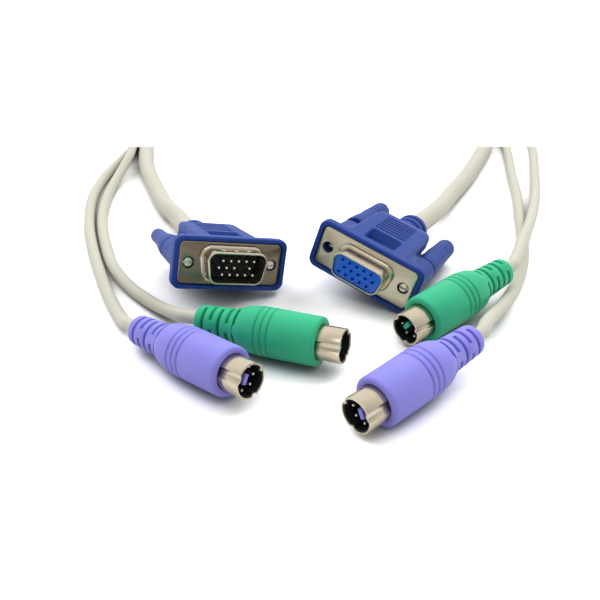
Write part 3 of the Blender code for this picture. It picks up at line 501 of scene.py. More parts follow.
def frame_of(lies):
    """A connector's matrix from where and how it lies."""
    x, y, z, yaw, tilt, roll = lies
    spin = Matrix.Rotation(math.radians(yaw), 4, "Z")
    tip = Matrix.Rotation(-math.radians(tilt), 4, "X")
    lean = Matrix.Rotation(-math.radians(roll), 4, "Y")
    return Matrix.Translation((x, y, z)) @ spin @ tip @ lean


def put(shape, name, finish, matrix, body, nodes, angle=40):
    """Names a piece, gives it its finish and place, and lets it stand for its nodes."""
    shape.name = name
    shape.data.name = name
    if not shape.data.materials:
        shape.data.materials.append(finish)
    shape.matrix_world = matrix
    smooth(shape, angle)
    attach(shape, body)
    if nodes:
        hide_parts(*nodes)
    return shape


# Video connectors

def build_shell(width, height, reach, plate, dimpled=False):
    """Flange and mating shell as one pressed sheet, with screw holes and a flared root."""
    wide, high, corner = FLANGE
    chamfer = FLANGE_CHAMFER
    shell = loft("shell", [
        (0, rectangle(wide - 2 * chamfer, high - 2 * chamfer, corner - chamfer)),
        (chamfer * 0.8, rectangle(wide, high, corner)),
        (FLANGE_THICKNESS, rectangle(wide, high, corner)),
    ])
    root = SHELL_ROOT
    stack = [(FLANGE_THICKNESS / 2, root), (0.00005, root)]
    for i in range(1, ROOT_STEPS + 1):
        turn = math.pi / 2 * i / ROOT_STEPS
        stack.append((-root * ROOT_FLARE * math.sin(turn), root * math.cos(turn)))
    wall = SHELL_WALL
    stack += [(-reach + wall * 0.7, 0.0), (-reach + wall * 0.3, -wall * 0.1), (-reach, -wall * 0.45)]
    join(shell, loft("tube", [(y, d_outline(width, height, grow)) for y, grow in stack]))
    cut(shell, prism("bore", d_outline(width, height, -wall), -reach - SINK, FLANGE_THICKNESS + SINK))
    holes = [
        rod("hole", SCREW_HOLE_RADIUS, -SINK, FLANGE_THICKNESS + SINK, (side * SCREW_PLACE, 0), 32)
        for side in (-1, 1)
    ]
    cut(shell, together("holes", holes))
    bevel(shell, 0.00016, 3, 50)
    if dimpled:
        cut(shell, together("dents", shell_dimples(width, height, reach)))
    give_plate(shell, width, height, plate)
    return shell


def shell_dimples(width, height, reach):
    """The pressed dents that grip the mating shell, three above, three below and two at each side."""
    side = width / 2 - height * math.tan(SHELL_SLANT) / 2
    dents = []
    for up in (1, -1):
        dents += [dimple((x, -reach * 0.6, up * height / 2), (0, 0, up)) for x in DIMPLE_PLACES]
    for way in (-1, 1):
        for z in SIDE_DIMPLES:
            x = side + z * math.tan(SHELL_SLANT)
            dents.append(dimple((way * x, -reach * 0.45, z), (way, 0, -math.sin(SHELL_SLANT))))
    return dents


def give_plate(shell, width, height, plate):
    """The flange's flat front and back take the plate's material, on the plug a dark one with painted shade,
    and its edges and the shell stay bright.
    """
    shell.data.materials.append(NICKEL)
    shell.data.materials.append(plate)
    for face in shell.data.polygons:
        corners = [shell.data.vertices[i].co for i in face.vertices]
        outer = max(max(abs(co.x) - width / 2, abs(co.z) - height / 2) for co in corners)
        front = face.center.y > -0.00002 and abs(face.normal.y) > 0.95
        face.material_index = int(front and outer > SHELL_ROOT * 0.8)


def dimple(place, normal):
    """The small ball that presses a shallow dent."""
    work = bmesh.new()
    bmesh.ops.create_uvsphere(work, u_segments=24, v_segments=16, radius=DIMPLE_RADIUS)
    mesh = bpy.data.meshes.new("dimple")
    work.to_mesh(mesh)
    work.free()
    ball = add_object("dimple", mesh)
    centre = Vector(place) + Vector(normal) * (DIMPLE_RADIUS - DIMPLE_DEPTH)
    ball.data.transform(Matrix.Translation(centre))
    return ball


def contact_places(mirror, missing=None):
    """Three rows of contacts, the middle one shifted by half a pitch."""
    places = []
    for row in (1, 0, -1):
        shift = mirror * CONTACT_PITCH / 4 * (1 if row else -1)
        for i in range(CONTACTS_IN_ROW):
            if (row, i) != missing:
                across = (i - CONTACTS_IN_ROW // 2) * CONTACT_PITCH + shift
                places.append((across, row * CONTACT_ROW))
    return places


def grip_cutters(side):
    """The grooves and the tilted scoop of one broad face."""
    top = BODY_HEIGHT / 2
    low, high = sorted(((top - RIB_GROOVE_DEPTH) * side, (top + SINK) * side))
    left, right = RIB_ENDS
    cutters = []
    for i in range(RIB_GROOVES):
        front = RIB_FRONT + i * RIB_PITCH
        cutters.append(box("groove", (left, front, low), (right, front + RIB_GROOVE_WIDTH, high)))
    scoop = prism("scoop", rectangle(*SCOOP), *SCOOP_SPAN)
    flat = Matrix.Rotation(-(math.pi / 2 + SCOOP_TILT) * side, 4, "X")
    scoop.data.transform(Matrix.Translation((0, SCOOP_PLACE, top * side)) @ flat)
    return cutters + [scoop]


def collar_profile():
    """The ringed strain relief, with the socket that the cord sits in."""
    start = BODY_REAR - COLLAR_ROOT
    ring = (COLLAR_REAR - BODY_REAR) / COLLAR_RINGS
    groove = COLLAR_RADIUS - COLLAR_GROOVE
    profile = [(0, start), (COLLAR_RADIUS, start)]
    for i in range(COLLAR_RINGS):
        rear = BODY_REAR + (i + 1) * ring
        profile.append((COLLAR_RADIUS, rear - ring * 0.4))
        if i < COLLAR_RINGS - 1:
            profile += [(groove, rear - ring * 0.3), (groove, rear), (COLLAR_RADIUS, rear + ring * 0.1)]
    socket = COLLAR_REAR - CORD_SOCKET_DEPTH
    bore = VIDEO_CORD_RADIUS + FINE_GAP
    return profile + [(groove, COLLAR_REAR), (bore, COLLAR_REAR), (bore, socket), (0, socket)]


def build_hood():
    """The moulded hood: joined forms under one skin, then its grips, cut crisp."""
    width, height, corner = FRAME_SIZE

    def frame_section(y, inset):
        return y, rectangle(width - 2 * inset, height - 2 * inset, corner - inset)

    def body_section(y, wide, high):
        return y, rectangle(BODY_WIDTH * wide, BODY_HEIGHT * high, BODY_CORNER)

    hood = loft("hood", [
        frame_section(-FRAME_PROUD, FRAME_EDGE), frame_section(-FRAME_PROUD + FRAME_EDGE, 0.0),
        frame_section(FRAME_DEPTH - FRAME_EDGE, 0.0), frame_section(FRAME_DEPTH, FRAME_EDGE),
    ])
    start = FRAME_DEPTH - SINK
    run = BODY_REAR - BODY_SHOULDER
    body = loft("body", [
        body_section(start, BODY_FRONT_SHARE, 1.0),
        *(body_section(BODY_SHOULDER + run * share, wide, high) for share, wide, high in BODY_TAPER),
        body_section(BODY_REAR, *BODY_REAR_SHARES),
    ])
    span, rise = 2 * (SCREW_PLACE + GUIDE_RADIUS), 2 * GUIDE_RADIUS
    guides = loft("guides", [
        (start, rectangle(span, rise, GUIDE_RADIUS * 0.98)),
        (GUIDE_REAR, rectangle(span - GUIDE_DRAFT, rise - GUIDE_DRAFT, GUIDE_RADIUS * 0.9)),
    ])
    shoulder = loft("shoulder", [
        (y, rectangle(wide, BODY_HEIGHT * high, SHOULDER_CORNER))
        for y, (wide, high) in zip((start, SHOULDER_MIDDLE, GUIDE_REAR), SHOULDER_SIZES)
    ])
    for part in (body, guides, shoulder, turned("collar", collar_profile())):
        join(hood, part)
    pocket = rectangle(FLANGE[0] + FIT_GAP, FLANGE[1] + FIT_GAP, FLANGE[2] + FIT_GAP / 2)
    cut(hood, prism("pocket", pocket, -FRAME_PROUD - SINK, FLANGE_THICKNESS + FIT_GAP))
    for side in (-1, 1):
        place = (side * SCREW_PLACE, 0)
        channel = KNOB_FRONT_RADIUS + CHANNEL_GAP
        cut(hood, rod("channel", channel, GUIDE_REAR, BODY_REAR + SINK, place, 40))
        cut(hood, rod("bore", SCREW_HOLE_RADIUS, 0, GUIDE_REAR + SINK, place))
    melt(hood, MOULDING_VOXEL)
    return cut(hood, together("grips", grip_cutters(1) + grip_cutters(-1)))


def knob_profile(tip, end_radius):
    """A grip that narrows behind its broad front, bored for its screw."""
    bore = SCREW_RADIUS + FINE_GAP
    profile = [(0, SCREW_SEAT), (bore, SCREW_SEAT), (bore, 0)]
    profile += [(KNOB_FRONT_RADIUS - KNOB_EDGE, 0), (KNOB_FRONT_RADIUS, KNOB_EDGE)]
    profile += [(KNOB_FRONT_RADIUS * 0.97, tip * 0.2), (KNOB_FRONT_RADIUS * 0.85, tip * 0.38)]
    profile += [(end_radius * 1.12, tip * 0.52), (end_radius * 1.03, tip * 0.75), (end_radius, tip - 0.0008)]
    return profile + [(end_radius * 0.96, tip - 0.00035), (end_radius * 0.84, tip), (0, tip)]


def build_knob(ribbed):
    length, radius = RIBBED_KNOB if ribbed else SMOOTH_KNOB
    knob = turned("knob", knob_profile(length, radius), 48)
    if ribbed:
        flutes = []
        ring = radius + FLUTE_PROUD
        for i in range(KNOB_FLUTES):
            angle = 2 * math.pi * (i + 0.5) / KNOB_FLUTES
            place = (ring * math.cos(angle), -ring * math.sin(angle))
            flutes.append(rod("flute", FLUTE_RADIUS, length - FLUTE_LENGTH, length + SINK, place, 12))
        cut(knob, together("flutes", flutes))
    return bevel(knob, 0.00012, 2)


def build_screw(tip):
    """The machine screw's end, with its slot."""
    screw = turned("screw", [
        (0, tip), (SCREW_RADIUS * 0.75, tip), (SCREW_RADIUS, tip + SCREW_CHAMFER),
        (SCREW_RADIUS, SCREW_SEAT), (0, SCREW_SEAT),
    ], 32)
    reach, half = SCREW_SLOT_REACH, SCREW_SLOT_HALF_WIDTH
    cut(screw, box("slot", (-reach, tip - SINK, -half), (reach, tip + SCREW_SLOT_DEPTH, half)))
    return bevel(screw, 0.00005, 2)


def add_thumbscrew(label, side, matrix, ribbed, pulled):
    """A grip and its machine screw on their own body, seated or drawn back."""
    front = GUIDE_REAR + FIT_GAP + pulled
    hub = matrix @ Matrix.Translation((side * SCREW_PLACE, front, 0))
    kind = label.replace("video_", "") + "_thumbscrew"
    put(build_knob(ribbed), f"{label}_grip", BLUE, hub, kind, [f"{label}_knob"])
    screw = build_screw(SCREW_TIP + pulled - front)
    put(screw, f"{label}_machine_screw", STEEL, hub, kind, [f"{label}_screw"])


def build_insulator(width, height, face, places, radius, depth, rim=0.0):
    """The block that fills a shell, drilled at every contact, with raised rims if asked."""
    body = prism("insulator", d_outline(width, height, -SHELL_WALL - FINE_GAP), face, INSULATOR_REAR)
    if rim:
        for place in places:
            join(body, rod("rim", radius + HOLE_RIM_WIDTH, face - rim, face + SINK, place, 24))
    cut(body, together("drills", [rod("drill", radius, face - SINK, face + depth, p) for p in places]))
    return bevel(body, 0.00006, 2)


def build_pins(places):
    """Blunt round pins at the plug's contacts."""
    tip, radius = -PIN_REACH, PIN_RADIUS
    profile = [(0, tip), (radius * 0.62, tip + PIN_NOSE * 0.10), (radius * 0.88, tip + PIN_NOSE * 0.45)]
    profile += [(radius, tip + PIN_NOSE), (radius, PIN_REAR), (0, PIN_REAR)]
    pins = []
    for x, z in places:
        pin = turned("pin", profile, 20)
        pin.data.transform(Matrix.Translation((x, 0, z)))
        pins.append(pin)
    return together("pins", pins)


hood = build_hood()

# Video plug, left end
plug = frame_of(VIDEO_PLUG)
put(copy_of(hood, "hood"), "plug_hood", BLUE, plug, "cable", ["video_plug_hood"], 180)
# The plug's flange front takes the dark plate: painted shade
plug_shell = build_shell(*PLUG_SHELL, PLATE_WITH_PAINTED_SHADE, True)
put(plug_shell, "plug_shell", NICKEL, plug, "cable", ["video_plug_shell"])
plug_places = contact_places(1, missing=(0, 3))
plug_insulator = build_insulator(
    *PLUG_SHELL[:2], PLUG_INSULATOR_FACE, plug_places, PIN_RADIUS + FINE_GAP, PIN_HOLE_DEPTH)
put(plug_insulator, "plug_insulator", BLACK, plug, "cable", ["video_plug_insulator"])
pin_nodes = [f"video_plug_pin_{i + 1:02d}" for i in range(len(plug_places))]
put(build_pins(plug_places), "plug_pins", GOLD, plug, "cable", pin_nodes)
add_thumbscrew("video_plug_left", -1, plug, False, 0.0)
add_thumbscrew("video_plug_right", 1, plug, False, 0.0)

# Video socket, right end
socket = frame_of(VIDEO_SOCKET)
put(hood, "socket_hood", BLUE, socket, "cable", ["video_socket_hood"], 180)
socket_shell = build_shell(*SOCKET_SHELL, LIGHT_PLATE)
put(socket_shell, "socket_shell", NICKEL, socket, "cable", ["video_socket_shell"])
socket_insulator = build_insulator(
    *SOCKET_SHELL[:2], SOCKET_INSULATOR_FACE, contact_places(-1), SOCKET_HOLE_RADIUS, SOCKET_HOLE_DEPTH,
    HOLE_RIM_HEIGHT)
put(socket_insulator, "socket_insulator", BLUE_INSERT, socket, "cable",
    ["video_socket_insulator"])
add_thumbscrew("video_socket_left", -1, socket, True, PULLED_BACK)
add_thumbscrew("video_socket_right", 1, socket, True, 0.0)


# Round plugs

def boot_profile():
    """The boot from its shell's bore over rings, shoulder and strain relief to its cord's socket."""
    bore = ROUND_SHELL_RADIUS + FINE_GAP
    bottom = ROUND_SHELL_REAR + FIT_GAP
    body = BOOT_RADIUS * 0.98
    profile = [(0, bottom), (bore, bottom), (bore, BOOT_FRONT + BOOT_LIP), (bore + FIT_GAP, BOOT_FRONT)]
    for i in range(6):
        turn = math.pi / 2 * i / 5
        inward = BOOT_ROUNDING * (1 - math.sin(turn))
        profile.append((body - inward, BOOT_FRONT + BOOT_ROUNDING * (1 - math.cos(turn))))
    for y in RING_PLACES:
        profile += [(BOOT_RADIUS - deep, y + along) for along, deep in RING_GROOVE]
    profile += [(BOOT_RADIUS * share, y) for share, y in BOOT_SHOULDER]
    profile.append((RELIEF_FRONT_RADIUS, RELIEF_FRONT))
    profile += [(RELIEF_REAR_RADIUS * share, BOOT_REAR - inset) for share, inset in RELIEF_END]
    bore = SLIM_CORD_RADIUS + FINE_GAP
    socket = BOOT_REAR - CORD_SOCKET_DEPTH
    return profile + [(bore, BOOT_REAR), (bore, socket), (0, socket)]


def build_boot():
    """The boot with its strain relief's slots, crossed by turns."""
    boot = turned("boot", boot_profile(), 64)
    reach = RELIEF_FRONT_RADIUS + SINK
    slots = []
    for i, place in enumerate(reversed(SLOT_PLACES)):
        y0, y1 = place - SLOT_WIDTH / 2, place + SLOT_WIDTH / 2
        for side in (-1, 1):
            near, far = sorted((side * RELIEF_CORE, side * reach))
            if i % 2 == 0:
                slots.append(box("slot", (-reach, y0, near), (reach, y1, far)))
            else:
                slots.append(box("slot", (near, y0, -reach), (far, y1, reach)))
    cut(boot, together("slots", slots))
    return bevel(boot, 0.00014, 2, 50)


def keyed_outline(radius, count=180):
    """A circle with the plug's three keyways pressed into it."""
    outline = []
    for i in range(count):
        angle = 360 * i / count
        dip = 0.0
        for middle, span in KEYWAYS:
            off = abs((angle - middle + 180) % 360 - 180)
            if off < span / 2:
                dip = max(dip, math.cos(math.pi * off / span) ** 0.5)
        reach = radius - KEYWAY_DEPTH * dip
        outline.append((reach * math.sin(math.radians(angle)), reach * math.cos(math.radians(angle))))
    return outline


def build_round_shell():
    shell = prism("round_shell", keyed_outline(ROUND_SHELL_RADIUS), 0, ROUND_SHELL_REAR)
    bore = keyed_outline(ROUND_SHELL_RADIUS - ROUND_SHELL_WALL)
    cut(shell, prism("bore", bore, -SINK, ROUND_SHELL_REAR + SINK))
    return bevel(shell, 0.0001, 2, 60)


def build_shade_sleeve():
    """A thin black sleeve inside the shell, nearly to its rim: painted shade over the shell's bare inner
    wall.
    """
    outside = ROUND_SHELL_RADIUS - ROUND_SHELL_WALL - SHADE_SLEEVE_GAP
    rear = ROUND_INSULATOR_FACE + SINK
    shade_sleeve = prism("shade_sleeve", keyed_outline(outside), SHADE_SLEEVE_FRONT, rear)
    cut(shade_sleeve, prism("bore", keyed_outline(outside - SHADE_SLEEVE_WALL), SHADE_SLEEVE_FRONT - SINK, rear + SINK))
    return bevel(shade_sleeve, 0.00006, 1, 60)


def build_round_insulator():
    outline = keyed_outline(ROUND_SHELL_RADIUS - ROUND_SHELL_WALL - FINE_GAP)
    return bevel(prism("round_insulator", outline, ROUND_INSULATOR_FACE, ROUND_SHELL_REAR), 0.0001, 2)


def build_round_pins():
    """Six pins in mirrored pairs, with rounded tips."""
    tip = ROUND_INSULATOR_FACE - ROUND_PIN_REACH
    rear = ROUND_INSULATOR_FACE + SINK
    profile = [(0, tip), *((radius, tip + along) for radius, along in ROUND_PIN_NOSE)]
    profile += [(ROUND_PIN_RADIUS, rear), (0, rear)]
    pins = []
    for x, z in ROUND_PINS:
        for side in (-1, 1):
            pin = turned("pin", profile, 24)
            pin.data.transform(Matrix.Translation((side * x, 0, z)))
            pins.append(pin)
    return together("round_pins", pins)


def build_key():
    width, thickness, offset = KEY
    low = (-width / 2, ROUND_INSULATOR_FACE - KEY_REACH, offset - thickness / 2)
    high = (width / 2, ROUND_INSULATOR_FACE + KEY_SEAT, offset + thickness / 2)
    return bevel(box("key", low, high), 0.0001, 3)


boot = build_boot()
round_shell = build_round_shell()
round_insulator = build_round_insulator()
shade_sleeve = build_shade_sleeve()
round_pins = build_round_pins()
key = build_key()
for label, lies, finish, colour in (
    ("keyboard_left", KEYBOARD_LEFT, PURPLE, "purple_moulding"),
    ("mouse_left", MOUSE_LEFT, GREEN, "green_moulding"),
    ("keyboard_right", KEYBOARD_RIGHT, PURPLE, "purple_moulding"),
    ("mouse_right", MOUSE_RIGHT, GREEN, "green_moulding"),
):
    place = frame_of(lies)
    put(copy_of(boot, "boot"), f"{label}_cover", finish, place, "cable", [f"{label}_boot"])
    put(copy_of(round_shell, "can"), f"{label}_can", NICKEL, place, "cable", [f"{label}_shell"])
    insulator = copy_of(round_insulator, "disc")
    put(insulator, f"{label}_disc", BLACK, place, "cable", [f"{label}_insulator"])
    # The black sleeve paints shade inside the shell
    put(copy_of(shade_sleeve, "shade_sleeve"), f"{label}_liner", BLACK, place, "cable", [])
    put(copy_of(round_pins, "contacts"), f"{label}_contacts", STEEL, place, "cable", [])
    put(copy_of(key, "tongue"), f"{label}_tongue", finish, place, "cable", [f"{label}_key"])
for spare in (boot, round_shell, round_insulator, shade_sleeve, round_pins, key):
    bpy.data.objects.remove(spare)

# Cords: the routes that the ends take over the table, left then right
ROUTES = {
    "video": (
        ((-0.0506, 0.0650, 0.0048), (-0.0562, 0.0760, 0.0040), (-0.0633, 0.0959, 0.0033),
         (-0.0711, 0.1205, 0.0033), (-0.0762, 0.1475, 0.0033), (-0.0778, 0.1625, 0.0033),
         (-0.0733, 0.1775, 0.0033), (-0.0633, 0.1925, 0.0034), (-0.0534, 0.2075, 0.0039)),
        ((0.0389, 0.0615, 0.0070), (0.0436, 0.0720, 0.0055), (0.0497, 0.0868, 0.0040),
         (0.0598, 0.1080, 0.0033), (0.0694, 0.1305, 0.0033), (0.0760, 0.1475, 0.0033),
         (0.0789, 0.1595, 0.0034), (0.0777, 0.1725, 0.0049), (0.0719, 0.1845, 0.0086),
         (0.0636, 0.1965, 0.0134), (0.0557, 0.2090, 0.0175)),
    ),
    "keyboard": (
        ((-0.0559, -0.0030, 0.0026), (-0.0626, 0.0108, 0.0019), (-0.0693, 0.0271, 0.0019),
         (-0.0759, 0.0452, 0.0019), (-0.0818, 0.0649, 0.0019), (-0.0865, 0.0889, 0.0019),
         (-0.0874, 0.1122, 0.0019), (-0.0848, 0.1355, 0.0019), (-0.0828, 0.1525, 0.0019),
         (-0.0829, 0.1655, 0.0019), (-0.0783, 0.1800, 0.0019), (-0.0679, 0.1957, 0.0020),
         (-0.0588, 0.2104, 0.0025), (-0.0547, 0.2225, 0.0029)),
        ((0.0414, -0.0130, 0.0078), (0.0494, 0.0010, 0.0052), (0.0561, 0.0145, 0.0031),
         (0.0625, 0.0302, 0.0019), (0.0664, 0.0435, 0.0019), (0.0701, 0.0602, 0.0019),
         (0.0728, 0.0735, 0.0019), (0.0768, 0.0928, 0.0019), (0.0811, 0.1191, 0.0019),
         (0.0864, 0.1475, 0.0019), (0.0876, 0.1605, 0.0020), (0.0842, 0.1740, 0.0034),
         (0.0776, 0.1870, 0.0073), (0.0688, 0.1995, 0.0122), (0.0610, 0.2120, 0.0161),
         (0.0572, 0.2235, 0.0176)),
    ),
    "mouse": (
        ((-0.0423, -0.0008, 0.0036), (-0.0496, 0.0069, 0.0025), (-0.0584, 0.0180, 0.0019),
         (-0.0659, 0.0311, 0.0019), (-0.0714, 0.0457, 0.0019), (-0.0765, 0.0623, 0.0019),
         (-0.0797, 0.0779, 0.0019), (-0.0814, 0.0963, 0.0022), (-0.0808, 0.1165, 0.0037),
         (-0.0803, 0.1335, 0.0054), (-0.0823, 0.1525, 0.0058), (-0.0828, 0.1655, 0.0058),
         (-0.0782, 0.1800, 0.0058), (-0.0678, 0.1957, 0.0059), (-0.0588, 0.2104, 0.0064),
         (-0.0547, 0.2225, 0.0067)),
        ((0.0594, 0.0265, 0.0088), (0.0629, 0.0355, 0.0078), (0.0666, 0.0445, 0.0067),
         (0.0709, 0.0550, 0.0059), (0.0776, 0.0733, 0.0038), (0.0851, 0.0969, 0.0021),
         (0.0930, 0.1273, 0.0019), (0.0982, 0.1485, 0.0019), (0.0999, 0.1615, 0.0020),
         (0.0969, 0.1735, 0.0037), (0.0889, 0.1865, 0.0087), (0.0784, 0.1985, 0.0147),
         (0.0680, 0.2100, 0.0191), (0.0598, 0.2215, 0.0212)),
    ),
}

# The coil's places, as a column (1 outer, -1 inner) and a layer, and where each turn changes place
COIL_SLOTS = ((1, 0), (-1, 0), (-1, 1), (1, 1), (1, 2))
COIL_CHANGES = ((125, 165), (95, 130), (65, 100), (35, 70))


def coil_points(offset, height, step=6):
    """A cord's turns, clockwise seen from above, from the left side to the right side."""
    places = []
    for passed in range(0, int(360 * COIL_TURNS) + 1, step):
        turn = passed + 180
        lap, beyond = divmod(turn, 360)
        column, layer = COIL_SLOTS[0]
        for change, (start, end) in enumerate(COIL_CHANGES):
            reached = turn - 360 * (change + 1)
            share = min(max((reached - start) / (end - start), 0.0), 1.0)
            share = share * share * (3 - 2 * share)
            before, after = COIL_SLOTS[change], COIL_SLOTS[change + 1]
            column += (after[0] - before[0]) * share
            layer += (after[1] - before[1]) * share
        radius = COIL_MEAN_RADIUS + column * CELL_WIDTH / 2 + offset
        angle = math.radians(180 - passed)
        x = COIL_CENTRE[0] + radius * math.cos(angle)
        y = COIL_CENTRE[1] + radius * math.sin(angle)
        places.append(Vector((x, y, COIL_BOTTOM + layer * CELL_HEIGHT + height)))
    return places


def smooth_points(lead, points, spacing, tail):
    """Evenly spaced points on one smooth curve through the given ones."""
    places = [Vector(p) for p in points]
    padded = [lead, *places, tail]
    dense = []
    for a, b, c, d in zip(padded, padded[1:], padded[2:], padded[3:]):
        for step in range(10):
            t = step / 10
            dense.append(0.5 * (2 * b + (c - a) * t + (2 * a - 5 * b + 4 * c - d) * t ** 2
                                + (3 * b - a - 3 * c + d) * t ** 3))
    dense.append(places[-1])
    chosen, run = [dense[0]], 0.0
    for p, q in zip(dense, dense[1:]):
        run += (q - p).length
        if run >= spacing:
            chosen.append(q)
            run = 0.0
    if (chosen[-1] - dense[-1]).length > spacing * 0.4:
        chosen.append(dense[-1])
    return chosen


def add_cord(name, ends, rear, radius, routes, offset, height, nodes):
    """One cord from connector to connector, through the coil."""
    left, right = (frame_of(lies) for lies in ends)
    start = left @ Vector((0, rear - CORD_SEAT, 0))
    finish = right @ Vector((0, rear - CORD_SEAT, 0))
    out = left @ Vector((0, rear + CORD_LEAD, 0))
    back = right @ Vector((0, rear + CORD_LEAD, 0))
    turns = coil_points(offset, height)
    points = [out, *routes[0], *turns, *reversed(routes[1]), back]
    points = [start, *smooth_points(start, points, CORD_SPACING, finish), finish]
    curve = bpy.data.curves.new(name, "CURVE")
    curve.dimensions = "3D"
    curve.bevel_depth = radius
    curve.bevel_resolution = 4
    curve.use_fill_caps = True
    spline = curve.splines.new("POLY")
    spline.points.add(len(points) - 1)
    for point, place in zip(spline.points, points):
        point.co = (*place, 1.0)
    spline.use_smooth = True
    cord = bpy.data.objects.new(name, curve)
    bpy.context.scene.collection.objects.link(cord)
    curve.materials.append(SHEATH)
    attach(cord, "cable")
    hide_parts(*nodes)


# Each cord's lane in a cell of the coil: the video cord inside, the slim cords one above the other
slim = SLIM_CORD_RADIUS
inner_lane = -slim
outer_lane = VIDEO_CORD_RADIUS
add_cord("video_cord", (VIDEO_PLUG, VIDEO_SOCKET), COLLAR_REAR, VIDEO_CORD_RADIUS, ROUTES["video"],
         inner_lane, VIDEO_CORD_RADIUS, ["video_cord_left", "video_cord_right", "cord_coil"])
add_cord("keyboard_cord", (KEYBOARD_LEFT, KEYBOARD_RIGHT), BOOT_REAR, slim, ROUTES["keyboard"],
         outer_lane, slim, ["keyboard_left_cord", "keyboard_right_cord"])
add_cord("mouse_cord", (MOUSE_LEFT, MOUSE_RIGHT), BOOT_REAR, slim, ROUTES["mouse"],
         outer_lane, 3 * slim + CORD_GAP, ["mouse_left_cord", "mouse_right_cord"])


def build_tie():
    """A hook-and-loop band round the coil's far side, with its end lapped over the top."""
    low, top = COIL_BOTTOM - FIT_GAP, COIL_BOTTOM + 3 * CELL_HEIGHT + FIT_GAP
    wide, high = 2 * (CELL_WIDTH + FIT_GAP), top - low
    around = 2 * TIE_THICKNESS
    half = TIE_HALF_WIDTH
    band = prism("band", rectangle(wide + around, high + around, TIE_CORNER), -half, half)
    cut(band, prism("hole", rectangle(wide, high, TIE_INNER_CORNER), -2 * half, 2 * half))
    lap = prism("lap", rectangle(TIE_LAP, TIE_THICKNESS, TIE_THICKNESS * 0.45), -half, half)
    lap.data.transform(Matrix.Translation((TIE_LAP_SHIFT, 0, high / 2 + TIE_THICKNESS * 1.5)))
    tie = together("tie", [bevel(band, TIE_ROUNDING), bevel(lap, TIE_ROUNDING)])
    tie.data.transform(Matrix.Translation((0, 0, (low + top) / 2)))
    return tie


far_side = Matrix.Translation((COIL_CENTRE[0], COIL_CENTRE[1] + COIL_MEAN_RADIUS, 0))
across = far_side @ Matrix.Rotation(math.pi / 2, 4, "Z")
put(build_tie(), "tie_band", TIE, across, "cable", ["coil_tie"])


# Stage

def blank_material(name):
    """A material with an output and nothing else."""
    made = bpy.data.materials.new(name)
    made.use_nodes = True
    made.node_tree.nodes.clear()
    return made, made.node_tree, add_node(made.node_tree, "ShaderNodeOutputMaterial")


def paper_material():
    """White to the camera with painted shade, dark in hollows by ambient occlusion, white in reflections,
    and grey as a reflector.
    """
    made, tree, output = blank_material("paper")
    shader = add_node(tree, "ShaderNodeBsdfDiffuse")
    ray = add_node(tree, "ShaderNodeLightPath")
    mirrored = add_node(tree, "ShaderNodeMath", operation="MAXIMUM")
    tree.links.new(ray.outputs["Is Glossy Ray"], mirrored.inputs[0])
    tree.links.new(ray.outputs["Is Transmission Ray"], mirrored.inputs[1])
    tone = mixed(tree, mirrored.outputs[0], FLOOR_AS_REFLECTOR, FLOOR_IN_REFLECTIONS)
    # Painted shade: the floor's colour to the camera darkens with ambient occlusion near the connectors
    openness = add_node(tree, "ShaderNodeAmbientOcclusion", samples=8)
    openness.inputs["Distance"].default_value = PAINTED_SHADE_REACH
    painted_shade = ranged(tree, openness.outputs["AO"], PAINTED_SHADE_RANGE, PAINTED_SHADE_TONES, "SMOOTHSTEP")
    tree.links.new(mixed(tree, ray.outputs["Is Camera Ray"], tone, painted_shade), shader.inputs["Color"])
    tree.links.new(shader.outputs[0], output.inputs["Surface"])
    return made


def card_material():
    """White from the front, clear from behind."""
    made, tree, output = blank_material("card")
    white = add_node(tree, "ShaderNodeEmission")
    clear = add_node(tree, "ShaderNodeBsdfTransparent")
    side = add_node(tree, "ShaderNodeNewGeometry")
    mix = add_node(tree, "ShaderNodeMixShader")
    tree.links.new(side.outputs["Backfacing"], mix.inputs[0])
    tree.links.new(white.outputs[0], mix.inputs[1])
    tree.links.new(clear.outputs[0], mix.inputs[2])
    tree.links.new(mix.outputs[0], output.inputs["Surface"])
    return made


def sheet(name, corners, material):
    """A flat piece of the stage."""
    mesh = bpy.data.meshes.new(name)
    mesh.from_pydata(corners, [], [(0, 1, 2, 3)])
    made = add_object(name, mesh)
    mesh.materials.append(material)
    return made


edge = FLOOR_REACH
sheet("floor", [(-edge, -edge, 0), (edge, -edge, 0), (edge, edge, 0), (-edge, edge, 0)], paper_material())

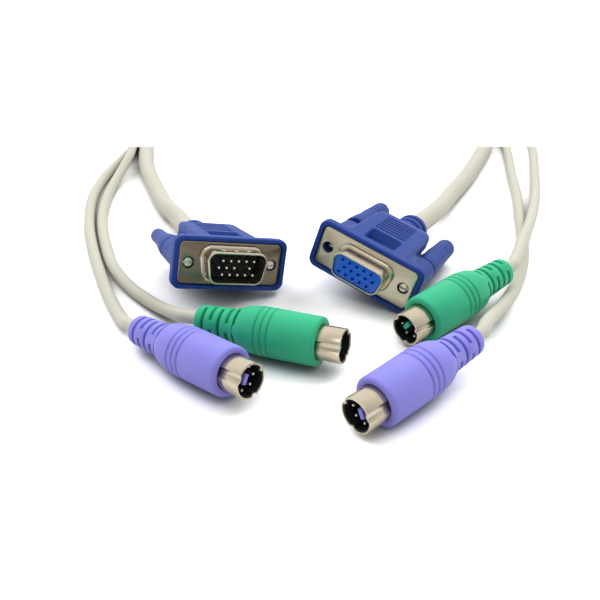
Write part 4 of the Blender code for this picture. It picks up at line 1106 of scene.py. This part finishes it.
# Light: a pale sky that darkens towards the front, one soft sun at each side and a small softbox
world = bpy.data.worlds.new("studio")
bpy.context.scene.world = world
world.use_nodes = True
tree = world.node_tree
backdrop = tree.nodes["Background"]
backdrop.inputs["Color"].default_value = (*SKY_COLOUR, 1)
direction = add_node(tree, "ShaderNodeTexCoord")
split = add_node(tree, "ShaderNodeSeparateXYZ")
tree.links.new(direction.outputs["Generated"], split.inputs[0])
strength = ranged(tree, split.outputs["Y"], SKY_SPAN, SKY_STRENGTH, "SMOOTHSTEP")
tree.links.new(strength, backdrop.inputs["Strength"])

for side in (-1, 1):
    lamp = bpy.data.lights.new("side_light", "SUN")
    lamp.energy = SIDE_LIGHT_ENERGY
    lamp.angle = SIDE_LIGHT_ANGLE
    side_lamp = bpy.data.objects.new("side_light", lamp)
    comes_from = Vector((side * SIDE_LIGHT[0], SIDE_LIGHT[1], SIDE_LIGHT[2]))
    side_lamp.rotation_euler = comes_from.to_track_quat("Z", "Y").to_euler()
    side_lamp.visible_glossy = False
    bpy.context.scene.collection.objects.link(side_lamp)

softbox_light = bpy.data.lights.new("softbox", "AREA")
softbox_light.shape = "RECTANGLE"
softbox_light.size, softbox_light.size_y = SOFTBOX_SIZE
softbox_light.energy = SOFTBOX_ENERGY
softbox = bpy.data.objects.new("softbox", softbox_light)
softbox.location = SOFTBOX_PLACE
softbox.rotation_euler = (SOFTBOX_TILT, 0, 0)
softbox.visible_diffuse = False
softbox.visible_camera = False
bpy.context.scene.collection.objects.link(softbox)

# Camera
view = bpy.data.cameras.new("camera")
view.lens = CAMERA_LENS
view.sensor_width = SENSOR_WIDTH
view.clip_start = CLIP_START
camera = bpy.data.objects.new("camera", view)
camera.location = CAMERA_PLACE
camera.rotation_euler = (CAMERA_TILT, 0, 0)
bpy.context.scene.collection.objects.link(camera)
bpy.context.scene.camera = camera
bpy.context.scene.view_settings.view_transform = "Standard"

# The white card covers the top of the frame, which is blank in the photograph, and nothing else sees it
half, low, high, reach = CARD
before_lens = Matrix.Translation(camera.location) @ camera.rotation_euler.to_matrix().to_4x4()
outline = ((-half, low), (half, low), (half, high), (-half, high))
card = sheet("card", [before_lens @ Vector((x, y, -reach)) for x, y in outline], card_material())
card.visible_shadow = False
card.visible_diffuse = False
card.visible_glossy = False
